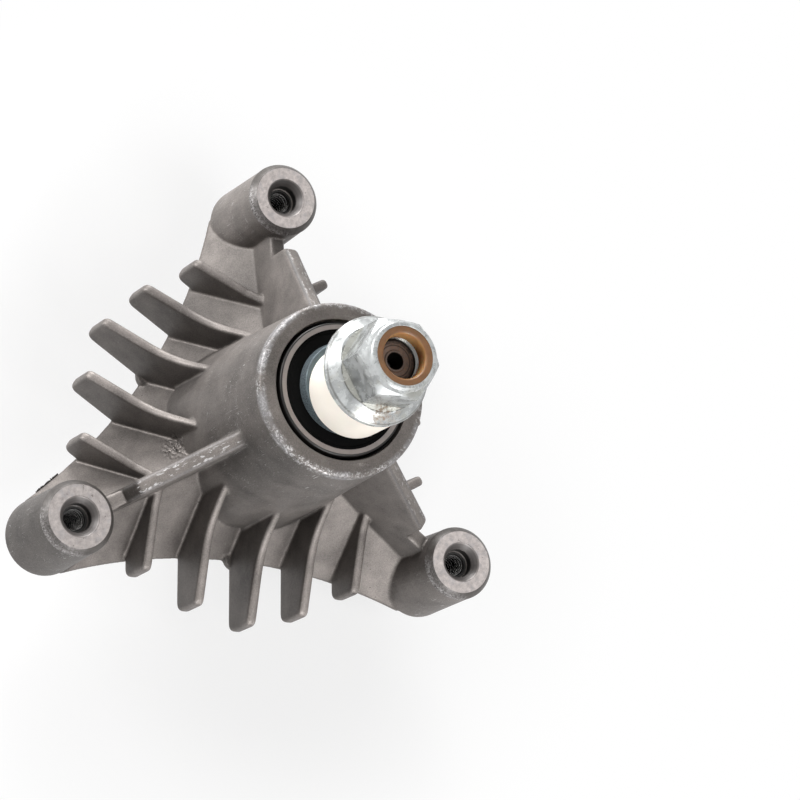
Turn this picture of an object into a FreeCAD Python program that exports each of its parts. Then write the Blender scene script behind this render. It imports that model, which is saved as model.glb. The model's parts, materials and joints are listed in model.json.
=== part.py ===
import FreeCAD, Part
import math
import os

# Mower deck spindle: a cast, finned three-leg housing, two sealed ball bearings
# and a shaft with its drive seat and lock nut above and its blade star below.
# Millimetres. The origin is on the shaft axis, in the plane of the three boss
# faces that bolt against the deck. +Z points up, to the lock nut.

# Legs, bosses and their tapped holes
LEG_COUNT = 3
FIRST_LEG_ANGLE = 90.0
BOLT_CIRCLE_DIAMETER = 144.0
BOSS_FACE_RADIUS = 9.8
BOSS_BEVEL = 1.5
BOSS_BEVEL_DROP = 2.0
BOSS_FOOT_SPREAD = 0.7
BOSS_FOOT_ROUND = 1.5
HOLE_TAP_RADIUS = 3.4
HOLE_RELIEF_STEP = 1.0
HOLE_RELIEF_LENGTH = 2.7
HOLE_MOUTH_STEP = 1.6
HOLE_MOUTH_DEPTH = 2.2
HOLE_FLOOR = 5.6

# Skirt: three dished faces that slope up from the lower edge to the hub
SKIRT_DROP = 33.3
SKIRT_DISH = 11.3
SKIRT_SLOPE = 1.149
SKIRT_LIP = 1.0
SKIRT_WALL = 4.5
RIB_THICKNESS = 4.0
RIB_RECESS = 2.0
PAD_RADIUS = 3.7
PAD_INSET = 0.7
PAD_HEIGHT = 2.8

# Hub
HUB_RISE = 45.6
HUB_RIM_WIDTH = 5.15
HUB_RIM_ROUND = 1.2
HUB_DRAFT = 0.039
HUB_DROP = 38.6
HUB_FOOT_WALL = 6.5
HUB_FOOT_ROUND = 1.5
HUB_SHOULDER = 3.4
SEAT_RELIEF = 1.05
SEAT_RELIEF_DEPTH = 2.5

# Webs that run from the hub to each boss, with a notch before the boss
WEB_THICKNESS = 5.0
WEB_HUB_HEIGHT = 28.7
WEB_EDGE_ROUND = 1.4
NOTCH_LENGTH = 17.6
NOTCH_DEPTH = 4.4
NOTCH_OUTER_DEPTH = 7.6
NOTCH_RISE = 9.4
NOTCH_TOP_ROUND = 3.5
NOTCH_FLOOR_ROUND = 1.0

# Cooling fins, five on each side, parallel to the middle of their side
FIN_PITCH = 17.2
MIDDLE_FIN_OVERHANG = 22.7
INNER_FIN_OVERHANG = 18.1
OUTER_FIN_OVERHANG = 9.3
FIN_TOP_THICKNESS = 3.1
FIN_FOOT_THICKNESS = 3.8
FIN_EDGE_ROUND = 1.0
FIN_ROOT_HEIGHT = 2.0
FIN_ROOT_DEPTH = 3.0
FIN_KNEE_STEP = 9.0
FIN_KNEE_HEIGHT = -10.5
FIN_KNEE_ROUND = 25.0
FIN_TIP_HEIGHT = -16.8
FIN_TIP_ROUND = 2.4
FIN_TOE_RISE = 2.1
FIN_TOE_ROUND = 3.0
OUTER_FIN_ROOT_HEIGHT = -7.5
OUTER_FIN_KNEE_STEP = 5.5
OUTER_FIN_KNEE_ROUND = 5.0

# Bearings, both of one size
BEARING_BORE = 17.0
BEARING_OUTER_DIAMETER = 40.0
BEARING_WIDTH = 12.0
BEARING_EDGE = 0.6
TOP_BEARING_STAND = 0.4
LOWER_BEARING_RECESS = 0.6
BALL_DIAMETER = 6.747
BALL_LEAST_GAP = 4.2
BALL_PLAY = 0.03
RACE_CONFORMITY = 0.52
INNER_LAND_DROP = 2.05
OUTER_LAND_RISE = 2.45
OUTER_RING_LIP = 2.05
SEAL_RECESS = 0.4
SEAL_THICKNESS = 0.9
SEAL_BEAD = 0.45
SEAL_LIP_GAP = 0.15
SEAL_LIP_WIDTH = 1.0
SEAL_RIM_WIDTH = 0.8
SEAL_DISH_STEP = 0.3
SEAL_DISH_DEPTH = 0.2
SEAL_ROUND = 0.1
CAGE_SHEET = 0.7
CAGE_POCKET_PLAY = 0.12
CAGE_LAND_GAP = 0.6
CAGE_SEAL_GAP = 0.3
RIVET_HEAD_GAP = 0.26
RIVET_HEAD_STEP = 0.4
RIVET_HEAD_HEIGHT = 0.35

# Fits between pieces that turn together or stand still together
PRESS_CLEARANCE = 0.01
SLIP_CLEARANCE = 0.1

# Spacer tube between the two inner rings
SPACER_WALL = 2.7

# Shaft
THREAD_RADIUS = 7.14
THREAD_BELOW_NUT = 4.6
SHAFT_SHORT_OF_RING = 1.9
SHAFT_TOP_BEVEL = 1.3
JOURNAL_TOP_ROUND = 0.65
CENTRE_MOUTH_RADIUS = 2.55
CENTRE_PILOT_RADIUS = 1.2
CENTRE_CONE_ANGLE = 60.0
CENTRE_DEPTH = 6.5
CENTRE_LIP_WIDTH = 0.75
CENTRE_LIP_HEIGHT = 0.25
WAIST_CUT = 0.3
WAIST_MARGIN = 3.0
DRIVE_FLAT_COUNT = 6
DRIVE_FLAT_DEPTH = 0.8
DRIVE_SEAT_GAP = 0.5
COLLAR_STEP = 3.4
COLLAR_HEIGHT = 2.6
FLANGE_RADIUS = 19.0
FLANGE_FLARE = 5.0
FLANGE_HEIGHT = 5.5
FLANGE_ROUND = 1.0
STAR_POINTS = 6
STAR_TIP_RADIUS = 11.9
STAR_DEPTH = 2.5
STAR_TIP_ROUND = 0.8
STAR_VALLEY_ROUND = 1.2
STAR_HEIGHT = 6.0
BLADE_HOLE_TAP_RADIUS = 4.3
BLADE_HOLE_MOUTH_STEP = 0.9
BLADE_HOLE_DEPTH = 30.0

# Thick washer and loose plastic sleeve on the shaft, below the nut
WASHER_RADIUS = 13.8
WASHER_SHEAR = 0.7
WASHER_THICKNESS = 3.1
WASHER_EDGE = 0.4
SLEEVE_PLAY = 2.1
SLEEVE_WALL = 2.9
SLEEVE_LENGTH = 17.5
SLEEVE_LEAN_ANGLE = -54.0
SLEEVE_EDGE = 0.5

# Flanged lock nut and its nylon ring
NUT_SIDES = 6
NUT_FIRST_FLAT_ANGLE = 30.0
NUT_FLATS = 22.0
NUT_FLANGE_SPREAD = 3.35
NUT_FLANGE_FOOT_BEVEL = 0.8
NUT_FLANGE_RIM = 2.2
NUT_FLANGE_ROUND = 0.3
NUT_FLANGE_HEIGHT = 5.8
NUT_SHELF_SLOPE = 0.3
NUT_HEXAGON_HEIGHT = 10.3
NUT_CONE_HEIGHT = 1.9
NUT_COLLAR_STEP = 0.5
NUT_COLLAR_LEAN = 0.4
NUT_COLLAR_WALL = 1.5
NUT_COLLAR_HEIGHT = 2.9
NUT_COLLAR_ROUND = 1.3
NUT_THREAD_CLEARANCE = 0.11
NUT_BORE_BEVEL = 1.0
RING_DEPTH = 0.5
RING_THICKNESS = 4.8
RING_TOP_GAP = 0.1
RING_GRIP = 0.69
RING_MOUTH_ROUND = 0.9

# Cutting tools run past what they cut by this much, and two places nearer than
# the touch distance are one. A rounding takes at most these parts of a side that
# another rounding shares, of a side of its own and of half a wall.
OVERSHOOT = 1.0
TOUCH = 0.01
SHARED_SIDE = 0.49
OWN_SIDE = 0.95
HALF_WALL = 0.94

Z_AXIS = FreeCAD.Vector(0, 0, 1)
Y_AXIS = FreeCAD.Vector(0, 1, 0)
X_AXIS = FreeCAD.Vector(1, 0, 0)
ORIGIN = FreeCAD.Vector(0, 0, 0)

SIDE_STEP = 360.0 / LEG_COUNT
FIRST_SIDE_ANGLE = FIRST_LEG_ANGLE + SIDE_STEP / 2
LEG_RADIUS = BOLT_CIRCLE_DIAMETER / 2
BOSS_FOOT_RADIUS = BOSS_FACE_RADIUS + BOSS_BEVEL + BOSS_FOOT_SPREAD
SKIRT_BOTTOM = -SKIRT_DROP
SKIRT_MID_REACH = LEG_RADIUS * math.cos(math.radians(SIDE_STEP / 2)) + BOSS_FOOT_RADIUS - SKIRT_DISH

BORE_RADIUS = BEARING_BORE / 2
BEARING_RADIUS = BEARING_OUTER_DIAMETER / 2
SEAT_RELIEF_RADIUS = BEARING_RADIUS + SEAT_RELIEF
HUB_RIM_RADIUS = SEAT_RELIEF_RADIUS + HUB_RIM_WIDTH
HUB_FOOT_RADIUS = BEARING_RADIUS + HUB_FOOT_WALL
HUB_CAVITY_RADIUS = BEARING_RADIUS - HUB_SHOULDER
SKIRT_AT_HUB = SKIRT_BOTTOM + (SKIRT_MID_REACH - HUB_FOOT_RADIUS) * SKIRT_SLOPE

TOP_BEARING_FACE = HUB_RISE + TOP_BEARING_STAND
TOP_BEARING_FOOT = TOP_BEARING_FACE - BEARING_WIDTH
LOWER_BEARING_FOOT = LOWER_BEARING_RECESS - HUB_DROP
LOWER_BEARING_FACE = LOWER_BEARING_FOOT + BEARING_WIDTH
BALL_RADIUS = BALL_DIAMETER / 2
BALL_CIRCLE_RADIUS = (BORE_RADIUS + BEARING_RADIUS) / 2
BALL_COUNT = int(2 * math.pi * BALL_CIRCLE_RADIUS / (BALL_DIAMETER + BALL_LEAST_GAP))
RIVET_ANGLE = 180.0 / BALL_COUNT
INNER_LAND_RADIUS = BALL_CIRCLE_RADIUS - INNER_LAND_DROP
OUTER_LAND_RADIUS = BALL_CIRCLE_RADIUS + OUTER_LAND_RISE
SEAL_SEAT_RADIUS = BEARING_RADIUS - OUTER_RING_LIP
SEAL_TOP = BEARING_WIDTH / 2 - SEAL_RECESS
SEAL_FOOT = SEAL_TOP - SEAL_THICKNESS

WASHER_TOP = TOP_BEARING_FACE + WASHER_THICKNESS
NUT_SEAT = WASHER_TOP + SLEEVE_LENGTH
NUT_CORNER_RADIUS = NUT_FLATS / 2 / math.cos(math.radians(180.0 / NUT_SIDES))
NUT_FLANGE_RADIUS = NUT_CORNER_RADIUS + NUT_FLANGE_SPREAD
NUT_SHELF = NUT_SEAT + NUT_FLANGE_HEIGHT
NUT_HEXAGON_TOP = NUT_SHELF + NUT_HEXAGON_HEIGHT
NUT_COLLAR_FOOT = NUT_HEXAGON_TOP + NUT_CONE_HEIGHT
NUT_TOP = NUT_COLLAR_FOOT + NUT_COLLAR_HEIGHT
RING_TOP = NUT_TOP - RING_DEPTH
RING_FOOT = RING_TOP - RING_THICKNESS
NUT_COLLAR_RADIUS = NUT_FLATS / 2 - NUT_COLLAR_STEP
NUT_COLLAR_TOP_RADIUS = NUT_COLLAR_RADIUS - NUT_COLLAR_LEAN
RING_RADIUS = NUT_COLLAR_TOP_RADIUS - NUT_COLLAR_WALL
SHAFT_TOP = RING_FOOT - SHAFT_SHORT_OF_RING
THREAD_START = NUT_SEAT - THREAD_BELOW_NUT


def rounding_setback(corners, index, before, after):
    """How far before its corner a rounding starts, within what its two sides can hold."""
    radius = corners[index][2]
    limits = [radius / math.tan(before.getAngle(after) / 2)]
    neighbours = (corners[index - 1], corners[(index + 1) % len(corners)])
    for side, neighbour in zip((before, after), neighbours):
        share = SHARED_SIDE if neighbour[2] > 0 else OWN_SIDE
        limits.append(side.Length * share)
    return min(limits)


def rounded_outline(corners):
    """Closed wire in the XZ plane from (x, z, radius) corners; a radius rounds its corner."""
    points = [FreeCAD.Vector(x, 0, z) for x, z, _ in corners]
    edges = []
    first_start = None
    last_end = None
    for index, (_, _, radius) in enumerate(corners):
        corner = points[index]
        start = corner
        end = corner
        if radius > 0:
            before = points[index - 1] - corner
            after = points[(index + 1) % len(points)] - corner
            half_angle = before.getAngle(after) / 2
            setback = rounding_setback(corners, index, before, after)
            before.normalize()
            after.normalize()
            start = corner + before * setback
            end = corner + after * setback
            inward = (before + after).normalize()
            held = setback * math.tan(half_angle)
            middle = corner + inward * (held / math.sin(half_angle) - held)
        if last_end is None:
            first_start = start
        else:
            edges.append(Part.makeLine(last_end, start))
        if radius > 0:
            edges.append(Part.Arc(start, middle, end).toShape())
        last_end = end
    edges.append(Part.makeLine(last_end, first_start))
    return Part.Wire(edges)


def turned(corners):
    """Solid of revolution about Z from a rounded outline of (radius, z, rounding) corners."""
    return Part.Face(rounded_outline(corners)).revolve(ORIGIN, Z_AXIS, 360)


def ring(inner_radius, outer_radius, bottom, top, edge):
    """Turned ring with its four edges rounded."""
    return turned([(inner_radius, bottom, edge), (outer_radius, bottom, edge),
                   (outer_radius, top, edge), (inner_radius, top, edge)])


def plate(corners, thickness):
    """Plate in the XZ plane, centred on Y = 0."""
    face = Part.Face(rounded_outline(corners))
    face.translate(FreeCAD.Vector(0, -thickness / 2, 0))
    return face.extrude(FreeCAD.Vector(0, thickness, 0))


def prism(points, height):
    """Upright prism over (x, y, z) points."""
    vectors = [FreeCAD.Vector(*point) for point in points]
    return Part.Face(Part.makePolygon(vectors + vectors[:1])).extrude(FreeCAD.Vector(0, 0, height))


def turned_copy(shape, angle):
    """Copy of a shape turned about the axis."""
    copy = shape.copy()
    copy.rotate(ORIGIN, Z_AXIS, angle)
    return copy


def around(shape, count, first_angle=0.0):
    """Evenly spaced copies about the axis."""
    return [turned_copy(shape, first_angle + 360.0 / count * index) for index in range(count)]


def moved(shape, x, y, z):
    """Copy of a shape moved by x, y and z."""
    copy = shape.copy()
    copy.translate(FreeCAD.Vector(x, y, z))
    return copy


def fused(shapes):
    """One solid from overlapping shapes."""
    return shapes[0].multiFuse(shapes[1:]).removeSplitter()


def round_edges(solid, radius, picked):
    """Fillet the edges for which the test holds."""
    return solid.makeFillet(radius, [edge for edge in solid.Edges if picked(edge)])


def skirt_face_radius():
    """Radius of a side's dished lower edge, tangent to the feet of its two bosses."""
    across = LEG_RADIUS * math.sin(math.radians(SIDE_STEP / 2))
    step = BOSS_FOOT_RADIUS - SKIRT_DISH
    return (across ** 2 + step ** 2 - BOSS_FOOT_RADIUS ** 2) / (2 * SKIRT_DISH)


def skirt_side_cutter(wall):
    """What lies outside one side of the skirt, in the frame whose X is the side's middle."""
    radius = skirt_face_radius() + wall
    lip_top = SKIRT_BOTTOM + SKIRT_LIP
    top = OVERSHOOT
    below = SKIRT_BOTTOM - RIB_RECESS - OVERSHOOT
    cutter = turned([(0, below, 0), (radius, below, 0), (radius, lip_top, 0),
                     (radius + (top - lip_top) / SKIRT_SLOPE, top, 0), (0, top, 0)])
    return moved(cutter, SKIRT_MID_REACH + skirt_face_radius(), 0, 0)


def skirt_core(wall, bottom):
    """Block with a corner over each boss and dished sides, drawn in by a wall, up to the boss-face plane."""
    reach = LEG_RADIUS / math.cos(math.radians(SIDE_STEP / 2))
    points = []
    for index in range(LEG_COUNT):
        angle = math.radians(FIRST_LEG_ANGLE + SIDE_STEP * (index + 0.5))
        points.append((reach * math.cos(angle), reach * math.sin(angle), bottom))
    block = prism(points, -bottom)
    return block.cut(around(skirt_side_cutter(wall), LEG_COUNT, FIRST_SIDE_ANGLE))


def skirt_hollow():
    """The space under the skirt, with its wall measured square to its slope."""
    wall_across = SKIRT_WALL * math.sqrt(1 + SKIRT_SLOPE ** 2) / SKIRT_SLOPE
    return skirt_core(wall_across, SKIRT_BOTTOM - RIB_RECESS)


def skirt():
    """Open-bottomed skirt with a rib and a pad under the middle of each side."""
    shell = skirt_core(0, SKIRT_BOTTOM).cut(skirt_hollow())
    rib_bottom = SKIRT_BOTTOM + RIB_RECESS
    pad_reach = SKIRT_MID_REACH - PAD_INSET
    rib = plate([(HUB_CAVITY_RADIUS, rib_bottom, 0), (pad_reach, rib_bottom, 0),
                 (HUB_FOOT_RADIUS, SKIRT_AT_HUB, 0), (HUB_CAVITY_RADIUS, SKIRT_AT_HUB, 0)], RIB_THICKNESS)
    pad = moved(Part.makeCylinder(PAD_RADIUS, PAD_HEIGHT), pad_reach, 0, SKIRT_BOTTOM)
    return [shell] + around(rib, LEG_COUNT, FIRST_SIDE_ANGLE) + around(pad, LEG_COUNT, FIRST_SIDE_ANGLE)


def hub_radius(height):
    """Outer radius of the drafted hub at a height above the skirt."""
    return HUB_RIM_RADIUS + HUB_DRAFT * (HUB_RISE - height)


def hub():
    """Solid hub, later bored."""
    return turned([(0, -HUB_DROP, 0), (HUB_FOOT_RADIUS, -HUB_DROP, HUB_FOOT_ROUND),
                   (HUB_FOOT_RADIUS, SKIRT_AT_HUB, 0), (hub_radius(SKIRT_AT_HUB), SKIRT_AT_HUB, 0),
                   (HUB_RIM_RADIUS, HUB_RISE, HUB_RIM_ROUND), (0, HUB_RISE, 0)])


def web():
    """Web of the leg that points along X, with the notch before the boss and the rib below it."""
    root = HUB_CAVITY_RADIUS
    corner = LEG_RADIUS - NOTCH_LENGTH
    corner_height = NOTCH_RISE - NOTCH_DEPTH
    wall = hub_radius(WEB_HUB_HEIGHT)
    slope = (WEB_HUB_HEIGHT - corner_height) / (corner - wall)
    bottom = SKIRT_BOTTOM + RIB_RECESS
    body = plate([(root, bottom, 0), (LEG_RADIUS, bottom, 0), (LEG_RADIUS, -NOTCH_OUTER_DEPTH, 0),
                  (corner, -NOTCH_DEPTH, NOTCH_FLOOR_ROUND), (corner, corner_height, NOTCH_TOP_ROUND),
                  (root, WEB_HUB_HEIGHT + slope * (wall - root), 0)], WEB_THICKNESS)

    def on_top(edge):
        box = edge.BoundBox
        return box.YLength < TOUCH and box.ZMin > -NOTCH_DEPTH - TOUCH and box.XMax > root + TOUCH

    return round_edges(body, min(WEB_EDGE_ROUND, HALF_WALL * WEB_THICKNESS / 2), on_top)


def hub_fin_top(offset):
    """Upper corners of a fin that rises to the hub: the knee and the root inside the hub's wall."""
    root = math.sqrt(hub_radius(FIN_ROOT_HEIGHT) ** 2 - offset ** 2)
    knee = math.sqrt((hub_radius(FIN_ROOT_HEIGHT) + FIN_KNEE_STEP) ** 2 - offset ** 2)
    start = root - FIN_ROOT_DEPTH
    rise = (FIN_ROOT_HEIGHT - FIN_KNEE_HEIGHT) / (knee - root)
    return [(knee, FIN_KNEE_HEIGHT, FIN_KNEE_ROUND), (start, FIN_ROOT_HEIGHT + rise * (root - start), 0)]


def web_fin_top(offset, reach):
    """Upper corners of a fin that ends on a web: the knee and the root inside the web."""
    start = abs(offset) / math.tan(math.radians(SIDE_STEP / 2))
    knee = start + WEB_THICKNESS / 2 + OUTER_FIN_KNEE_STEP
    run = SKIRT_MID_REACH + MIDDLE_FIN_OVERHANG - hub_radius(FIN_ROOT_HEIGHT) - FIN_KNEE_STEP
    slope = (FIN_KNEE_HEIGHT - FIN_TIP_HEIGHT) / run
    knee_height = FIN_TIP_HEIGHT + slope * (reach - knee)
    return [(knee, knee_height, OUTER_FIN_KNEE_ROUND), (start, OUTER_FIN_ROOT_HEIGHT, 0)]


def fin(offset, overhang):
    """One fin at a distance across its side, in the frame whose X is the side's middle."""
    reach = SKIRT_MID_REACH + overhang
    upper = hub_fin_top(offset) if abs(offset) < hub_radius(FIN_ROOT_HEIGHT) else web_fin_top(offset, reach)
    start, top, _ = upper[-1]
    outline = [(start, SKIRT_BOTTOM, 0), (reach, SKIRT_BOTTOM + FIN_TOE_RISE, FIN_TOE_ROUND),
               (reach, FIN_TIP_HEIGHT, FIN_TIP_ROUND)] + upper
    foot_half = FIN_FOOT_THICKNESS / 2
    draft = (foot_half - FIN_TOP_THICKNESS / 2) / (FIN_TIP_HEIGHT - SKIRT_BOTTOM)
    top_half = foot_half - draft * (top - SKIRT_BOTTOM)
    section = [FreeCAD.Vector(start, y, z) for y, z in
               ((0, SKIRT_BOTTOM), (foot_half, SKIRT_BOTTOM), (top_half, top), (0, top), (0, SKIRT_BOTTOM))]
    taper = Part.Face(Part.makePolygon(section)).extrude(X_AXIS * (reach - start))
    half = plate(outline, 2 * FIN_FOOT_THICKNESS).common(taper)

    def on_side(edge):
        box = edge.BoundBox
        beyond_start = box.XMax > start + TOUCH
        return box.YMin > top_half / 2 and beyond_start and box.ZMax > SKIRT_BOTTOM + TOUCH

    half = round_edges(half, min(FIN_EDGE_ROUND, HALF_WALL * top_half), on_side)
    return moved(fused([half, half.mirror(ORIGIN, Y_AXIS)]), 0, offset, 0)


def fins():
    """All fins of all sides: one on the middle of a side and pairs beside it, none under the skirt."""
    side = [fin(0, MIDDLE_FIN_OVERHANG)]
    for step, overhang in ((1, INNER_FIN_OVERHANG), (2, OUTER_FIN_OVERHANG)):
        side += [fin(-step * FIN_PITCH, overhang), fin(step * FIN_PITCH, overhang)]
    hollow = turned_copy(skirt_hollow(), -FIRST_SIDE_ANGLE)
    shapes = []
    for one in side:
        shapes += around(one.cut(hollow), LEG_COUNT, FIRST_SIDE_ANGLE)
    return shapes


def boss():
    """Boss of the leg that points along X."""
    body = turned([(0, SKIRT_BOTTOM, 0), (BOSS_FOOT_RADIUS, SKIRT_BOTTOM, BOSS_FOOT_ROUND),
                   (BOSS_FACE_RADIUS + BOSS_BEVEL, -BOSS_BEVEL_DROP, 0), (BOSS_FACE_RADIUS, 0, 0), (0, 0, 0)])
    return moved(body, LEG_RADIUS, 0, 0)


def boss_hole():
    """Countersunk, relieved and tapped blind hole of a boss, with the drill's cone at its end."""
    relief = HOLE_TAP_RADIUS + HOLE_RELIEF_STEP
    mouth = relief + HOLE_MOUTH_STEP
    relief_floor = -HOLE_MOUTH_DEPTH - HOLE_RELIEF_LENGTH
    point = SKIRT_BOTTOM + HOLE_FLOOR
    hole = turned([(0, OVERSHOOT, 0), (mouth, OVERSHOOT, 0), (mouth, 0, 0), (relief, -HOLE_MOUTH_DEPTH, 0),
                   (relief, relief_floor, 0), (HOLE_TAP_RADIUS, relief_floor, 0),
                   (HOLE_TAP_RADIUS, point + HOLE_TAP_RADIUS / 2, 0), (0, point, 0)])
    return moved(hole, LEG_RADIUS, 0, 0)


def housing_bore():
    """Bearing seats, seat relief and the cavity between the seats."""
    seat = BEARING_RADIUS + PRESS_CLEARANCE
    bottom = -HUB_DROP - OVERSHOOT
    relief = HUB_RISE - SEAT_RELIEF_DEPTH
    top = HUB_RISE + OVERSHOOT
    return turned([(0, bottom, 0), (seat, bottom, 0), (seat, LOWER_BEARING_FACE, 0),
                   (HUB_CAVITY_RADIUS, LOWER_BEARING_FACE, 0), (HUB_CAVITY_RADIUS, TOP_BEARING_FOOT, 0),
                   (seat, TOP_BEARING_FOOT, 0), (seat, relief, 0), (SEAT_RELIEF_RADIUS, relief, 0),
                   (SEAT_RELIEF_RADIUS, top, 0), (0, top, 0)])


def housing():
    """The casting: hub, skirt, webs, fins and bosses in one piece."""
    body = fused([hub()] + skirt() + around(web(), LEG_COUNT, FIRST_LEG_ANGLE)
                 + around(boss(), LEG_COUNT, FIRST_LEG_ANGLE) + fins())
    return body.cut([housing_bore()] + around(boss_hole(), LEG_COUNT, FIRST_LEG_ANGLE))


def outer_ring():
    """Outer ring of a bearing, centred on its own middle."""
    half = BEARING_WIDTH / 2
    seat = SEAL_SEAT_RADIUS
    groove = SEAL_SEAT_RADIUS + SEAL_BEAD
    blank = turned([(OUTER_LAND_RADIUS, -SEAL_FOOT, 0), (groove, -SEAL_FOOT, 0), (groove, -SEAL_TOP, 0),
                    (seat, -SEAL_TOP, 0), (seat, -half, 0), (BEARING_RADIUS, -half, BEARING_EDGE),
                    (BEARING_RADIUS, half, BEARING_EDGE), (seat, half, 0), (seat, SEAL_TOP, 0),
                    (groove, SEAL_TOP, 0), (groove, SEAL_FOOT, 0), (OUTER_LAND_RADIUS, SEAL_FOOT, 0)])
    section = RACE_CONFORMITY * BALL_DIAMETER
    return blank.cut(Part.makeTorus(BALL_CIRCLE_RADIUS + BALL_RADIUS + BALL_PLAY - section, section))


def inner_ring():
    """Inner ring of a bearing, centred on its own middle."""
    half = BEARING_WIDTH / 2
    blank = ring(BORE_RADIUS + PRESS_CLEARANCE, INNER_LAND_RADIUS, -half, half, BEARING_EDGE)
    section = RACE_CONFORMITY * BALL_DIAMETER
    return blank.cut(Part.makeTorus(BALL_CIRCLE_RADIUS - BALL_RADIUS - BALL_PLAY + section, section))


def balls():
    """The ball set of a bearing."""
    ball = moved(Part.makeSphere(BALL_RADIUS), BALL_CIRCLE_RADIUS, 0, 0)
    return Part.makeCompound(around(ball, BALL_COUNT))


def rivet_head_radius():
    """Radius of a rivet's head, within the flat between two cups of the cage."""
    half_chord = BALL_CIRCLE_RADIUS * math.sin(math.radians(180.0 / BALL_COUNT))
    return half_chord - BALL_RADIUS - CAGE_POCKET_PLAY - CAGE_SHEET - RIVET_HEAD_GAP


def cage_half():
    """Upper half of the pressed two-piece cage: a flat ribbon with a cup over each ball."""
    inner = INNER_LAND_RADIUS + CAGE_LAND_GAP
    outer = OUTER_LAND_RADIUS - CAGE_LAND_GAP
    pocket = BALL_RADIUS + CAGE_POCKET_PLAY
    height = SEAL_FOOT - CAGE_SEAL_GAP
    band = Part.makeCylinder(outer, height).cut(Part.makeCylinder(inner, height))
    ribbon = Part.makeCylinder(outer, CAGE_SHEET).cut(Part.makeCylinder(inner, CAGE_SHEET))
    cups = around(moved(Part.makeSphere(pocket + CAGE_SHEET), BALL_CIRCLE_RADIUS, 0, 0), BALL_COUNT)
    pockets = around(moved(Part.makeSphere(pocket), BALL_CIRCLE_RADIUS, 0, 0), BALL_COUNT)
    rivet_hole = Part.makeCylinder(rivet_head_radius() - RIVET_HEAD_STEP, CAGE_SHEET)
    holes = around(moved(rivet_hole, BALL_CIRCLE_RADIUS, 0, 0), BALL_COUNT, RIVET_ANGLE)
    return ribbon.multiFuse(cups).common(band).cut(pockets + holes)


def cage_rivets():
    """Rivets through the flats of both cage halves."""
    head = rivet_head_radius()
    shank = head - RIVET_HEAD_STEP
    head_top = CAGE_SHEET + RIVET_HEAD_HEIGHT
    rivet = turned([(0, -head_top, 0), (head, -head_top, RIVET_HEAD_HEIGHT / 2), (head, -CAGE_SHEET, 0),
                    (shank, -CAGE_SHEET, 0), (shank, CAGE_SHEET, 0), (head, CAGE_SHEET, 0),
                    (head, head_top, RIVET_HEAD_HEIGHT / 2), (0, head_top, 0)])
    return Part.makeCompound(around(moved(rivet, BALL_CIRCLE_RADIUS, 0, 0), BALL_COUNT, RIVET_ANGLE))


def seal():
    """Rubber seal over a steel disc, for the upper side of a bearing centred on its middle."""
    bead = SEAL_SEAT_RADIUS + SEAL_BEAD - PRESS_CLEARANCE
    lip = INNER_LAND_RADIUS + SEAL_LIP_GAP
    lip_edge = lip + SEAL_LIP_WIDTH
    rim_edge = SEAL_SEAT_RADIUS - SEAL_RIM_WIDTH
    dish = SEAL_TOP - SEAL_DISH_DEPTH
    return turned([(lip, SEAL_FOOT + SEAL_DISH_DEPTH, SEAL_ROUND), (lip_edge, SEAL_FOOT, 0),
                   (bead, SEAL_FOOT, 0), (bead, SEAL_TOP, SEAL_ROUND), (rim_edge, SEAL_TOP, SEAL_ROUND),
                   (rim_edge - SEAL_DISH_STEP, dish, SEAL_ROUND),
                   (lip_edge + SEAL_DISH_STEP, dish, SEAL_ROUND), (lip_edge, SEAL_TOP, SEAL_ROUND),
                   (lip, SEAL_TOP - SEAL_ROUND, SEAL_ROUND)])


def bearing(prefix, face):
    """The pieces of one sealed ball bearing by node name, its upper face at a height."""
    middle = face - BEARING_WIDTH / 2
    pieces = {"outer_ring": outer_ring(), "inner_ring": inner_ring(), "balls": balls(),
              "cage_upper_half": cage_half(), "cage_lower_half": cage_half().mirror(ORIGIN, Z_AXIS),
              "cage_rivets": cage_rivets(), "upper_seal": seal(),
              "lower_seal": seal().mirror(ORIGIN, Z_AXIS)}
    return {prefix + "_" + name: moved(shape, 0, 0, middle) for name, shape in pieces.items()}


def spacer_tube():
    """Tube that keeps the inner rings apart."""
    bore = BORE_RADIUS + PRESS_CLEARANCE
    return ring(bore, BORE_RADIUS + SPACER_WALL, LOWER_BEARING_FACE, TOP_BEARING_FOOT, BEARING_EDGE)


def blade_star(foot):
    """Six-pointed star that carries the blade, above its lower end."""
    corners = []
    for index in range(STAR_POINTS):
        tip = math.radians(360.0 / STAR_POINTS * index)
        valley = math.radians(360.0 / STAR_POINTS * (index + 0.5))
        valley_radius = STAR_TIP_RADIUS - STAR_DEPTH
        for radius, angle, rounding in ((STAR_TIP_RADIUS, tip, STAR_TIP_ROUND),
                                        (valley_radius, valley, STAR_VALLEY_ROUND)):
            corners.append((radius * math.cos(angle), radius * math.sin(angle), rounding))
    outline = rounded_outline(corners)
    outline.rotate(ORIGIN, X_AXIS, -90)
    outline.translate(Z_AXIS * foot)
    return Part.Face(outline).extrude(Z_AXIS * (STAR_HEIGHT + OVERSHOOT))


def drive_seat_cut():
    """Ring with a six-sided hole that leaves the drive flats on the shaft above the washer."""
    start = WASHER_TOP + DRIVE_SEAT_GAP
    height = THREAD_START - start
    corner = (BORE_RADIUS - DRIVE_FLAT_DEPTH) / math.cos(math.radians(180.0 / DRIVE_FLAT_COUNT))
    points = []
    for index in range(DRIVE_FLAT_COUNT):
        angle = math.radians(360.0 / DRIVE_FLAT_COUNT * index)
        points.append((corner * math.cos(angle), corner * math.sin(angle), start))
    sheath = moved(Part.makeCylinder(BORE_RADIUS + OVERSHOOT, height), 0, 0, start)
    return sheath.cut(prism(points, height))


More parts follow.
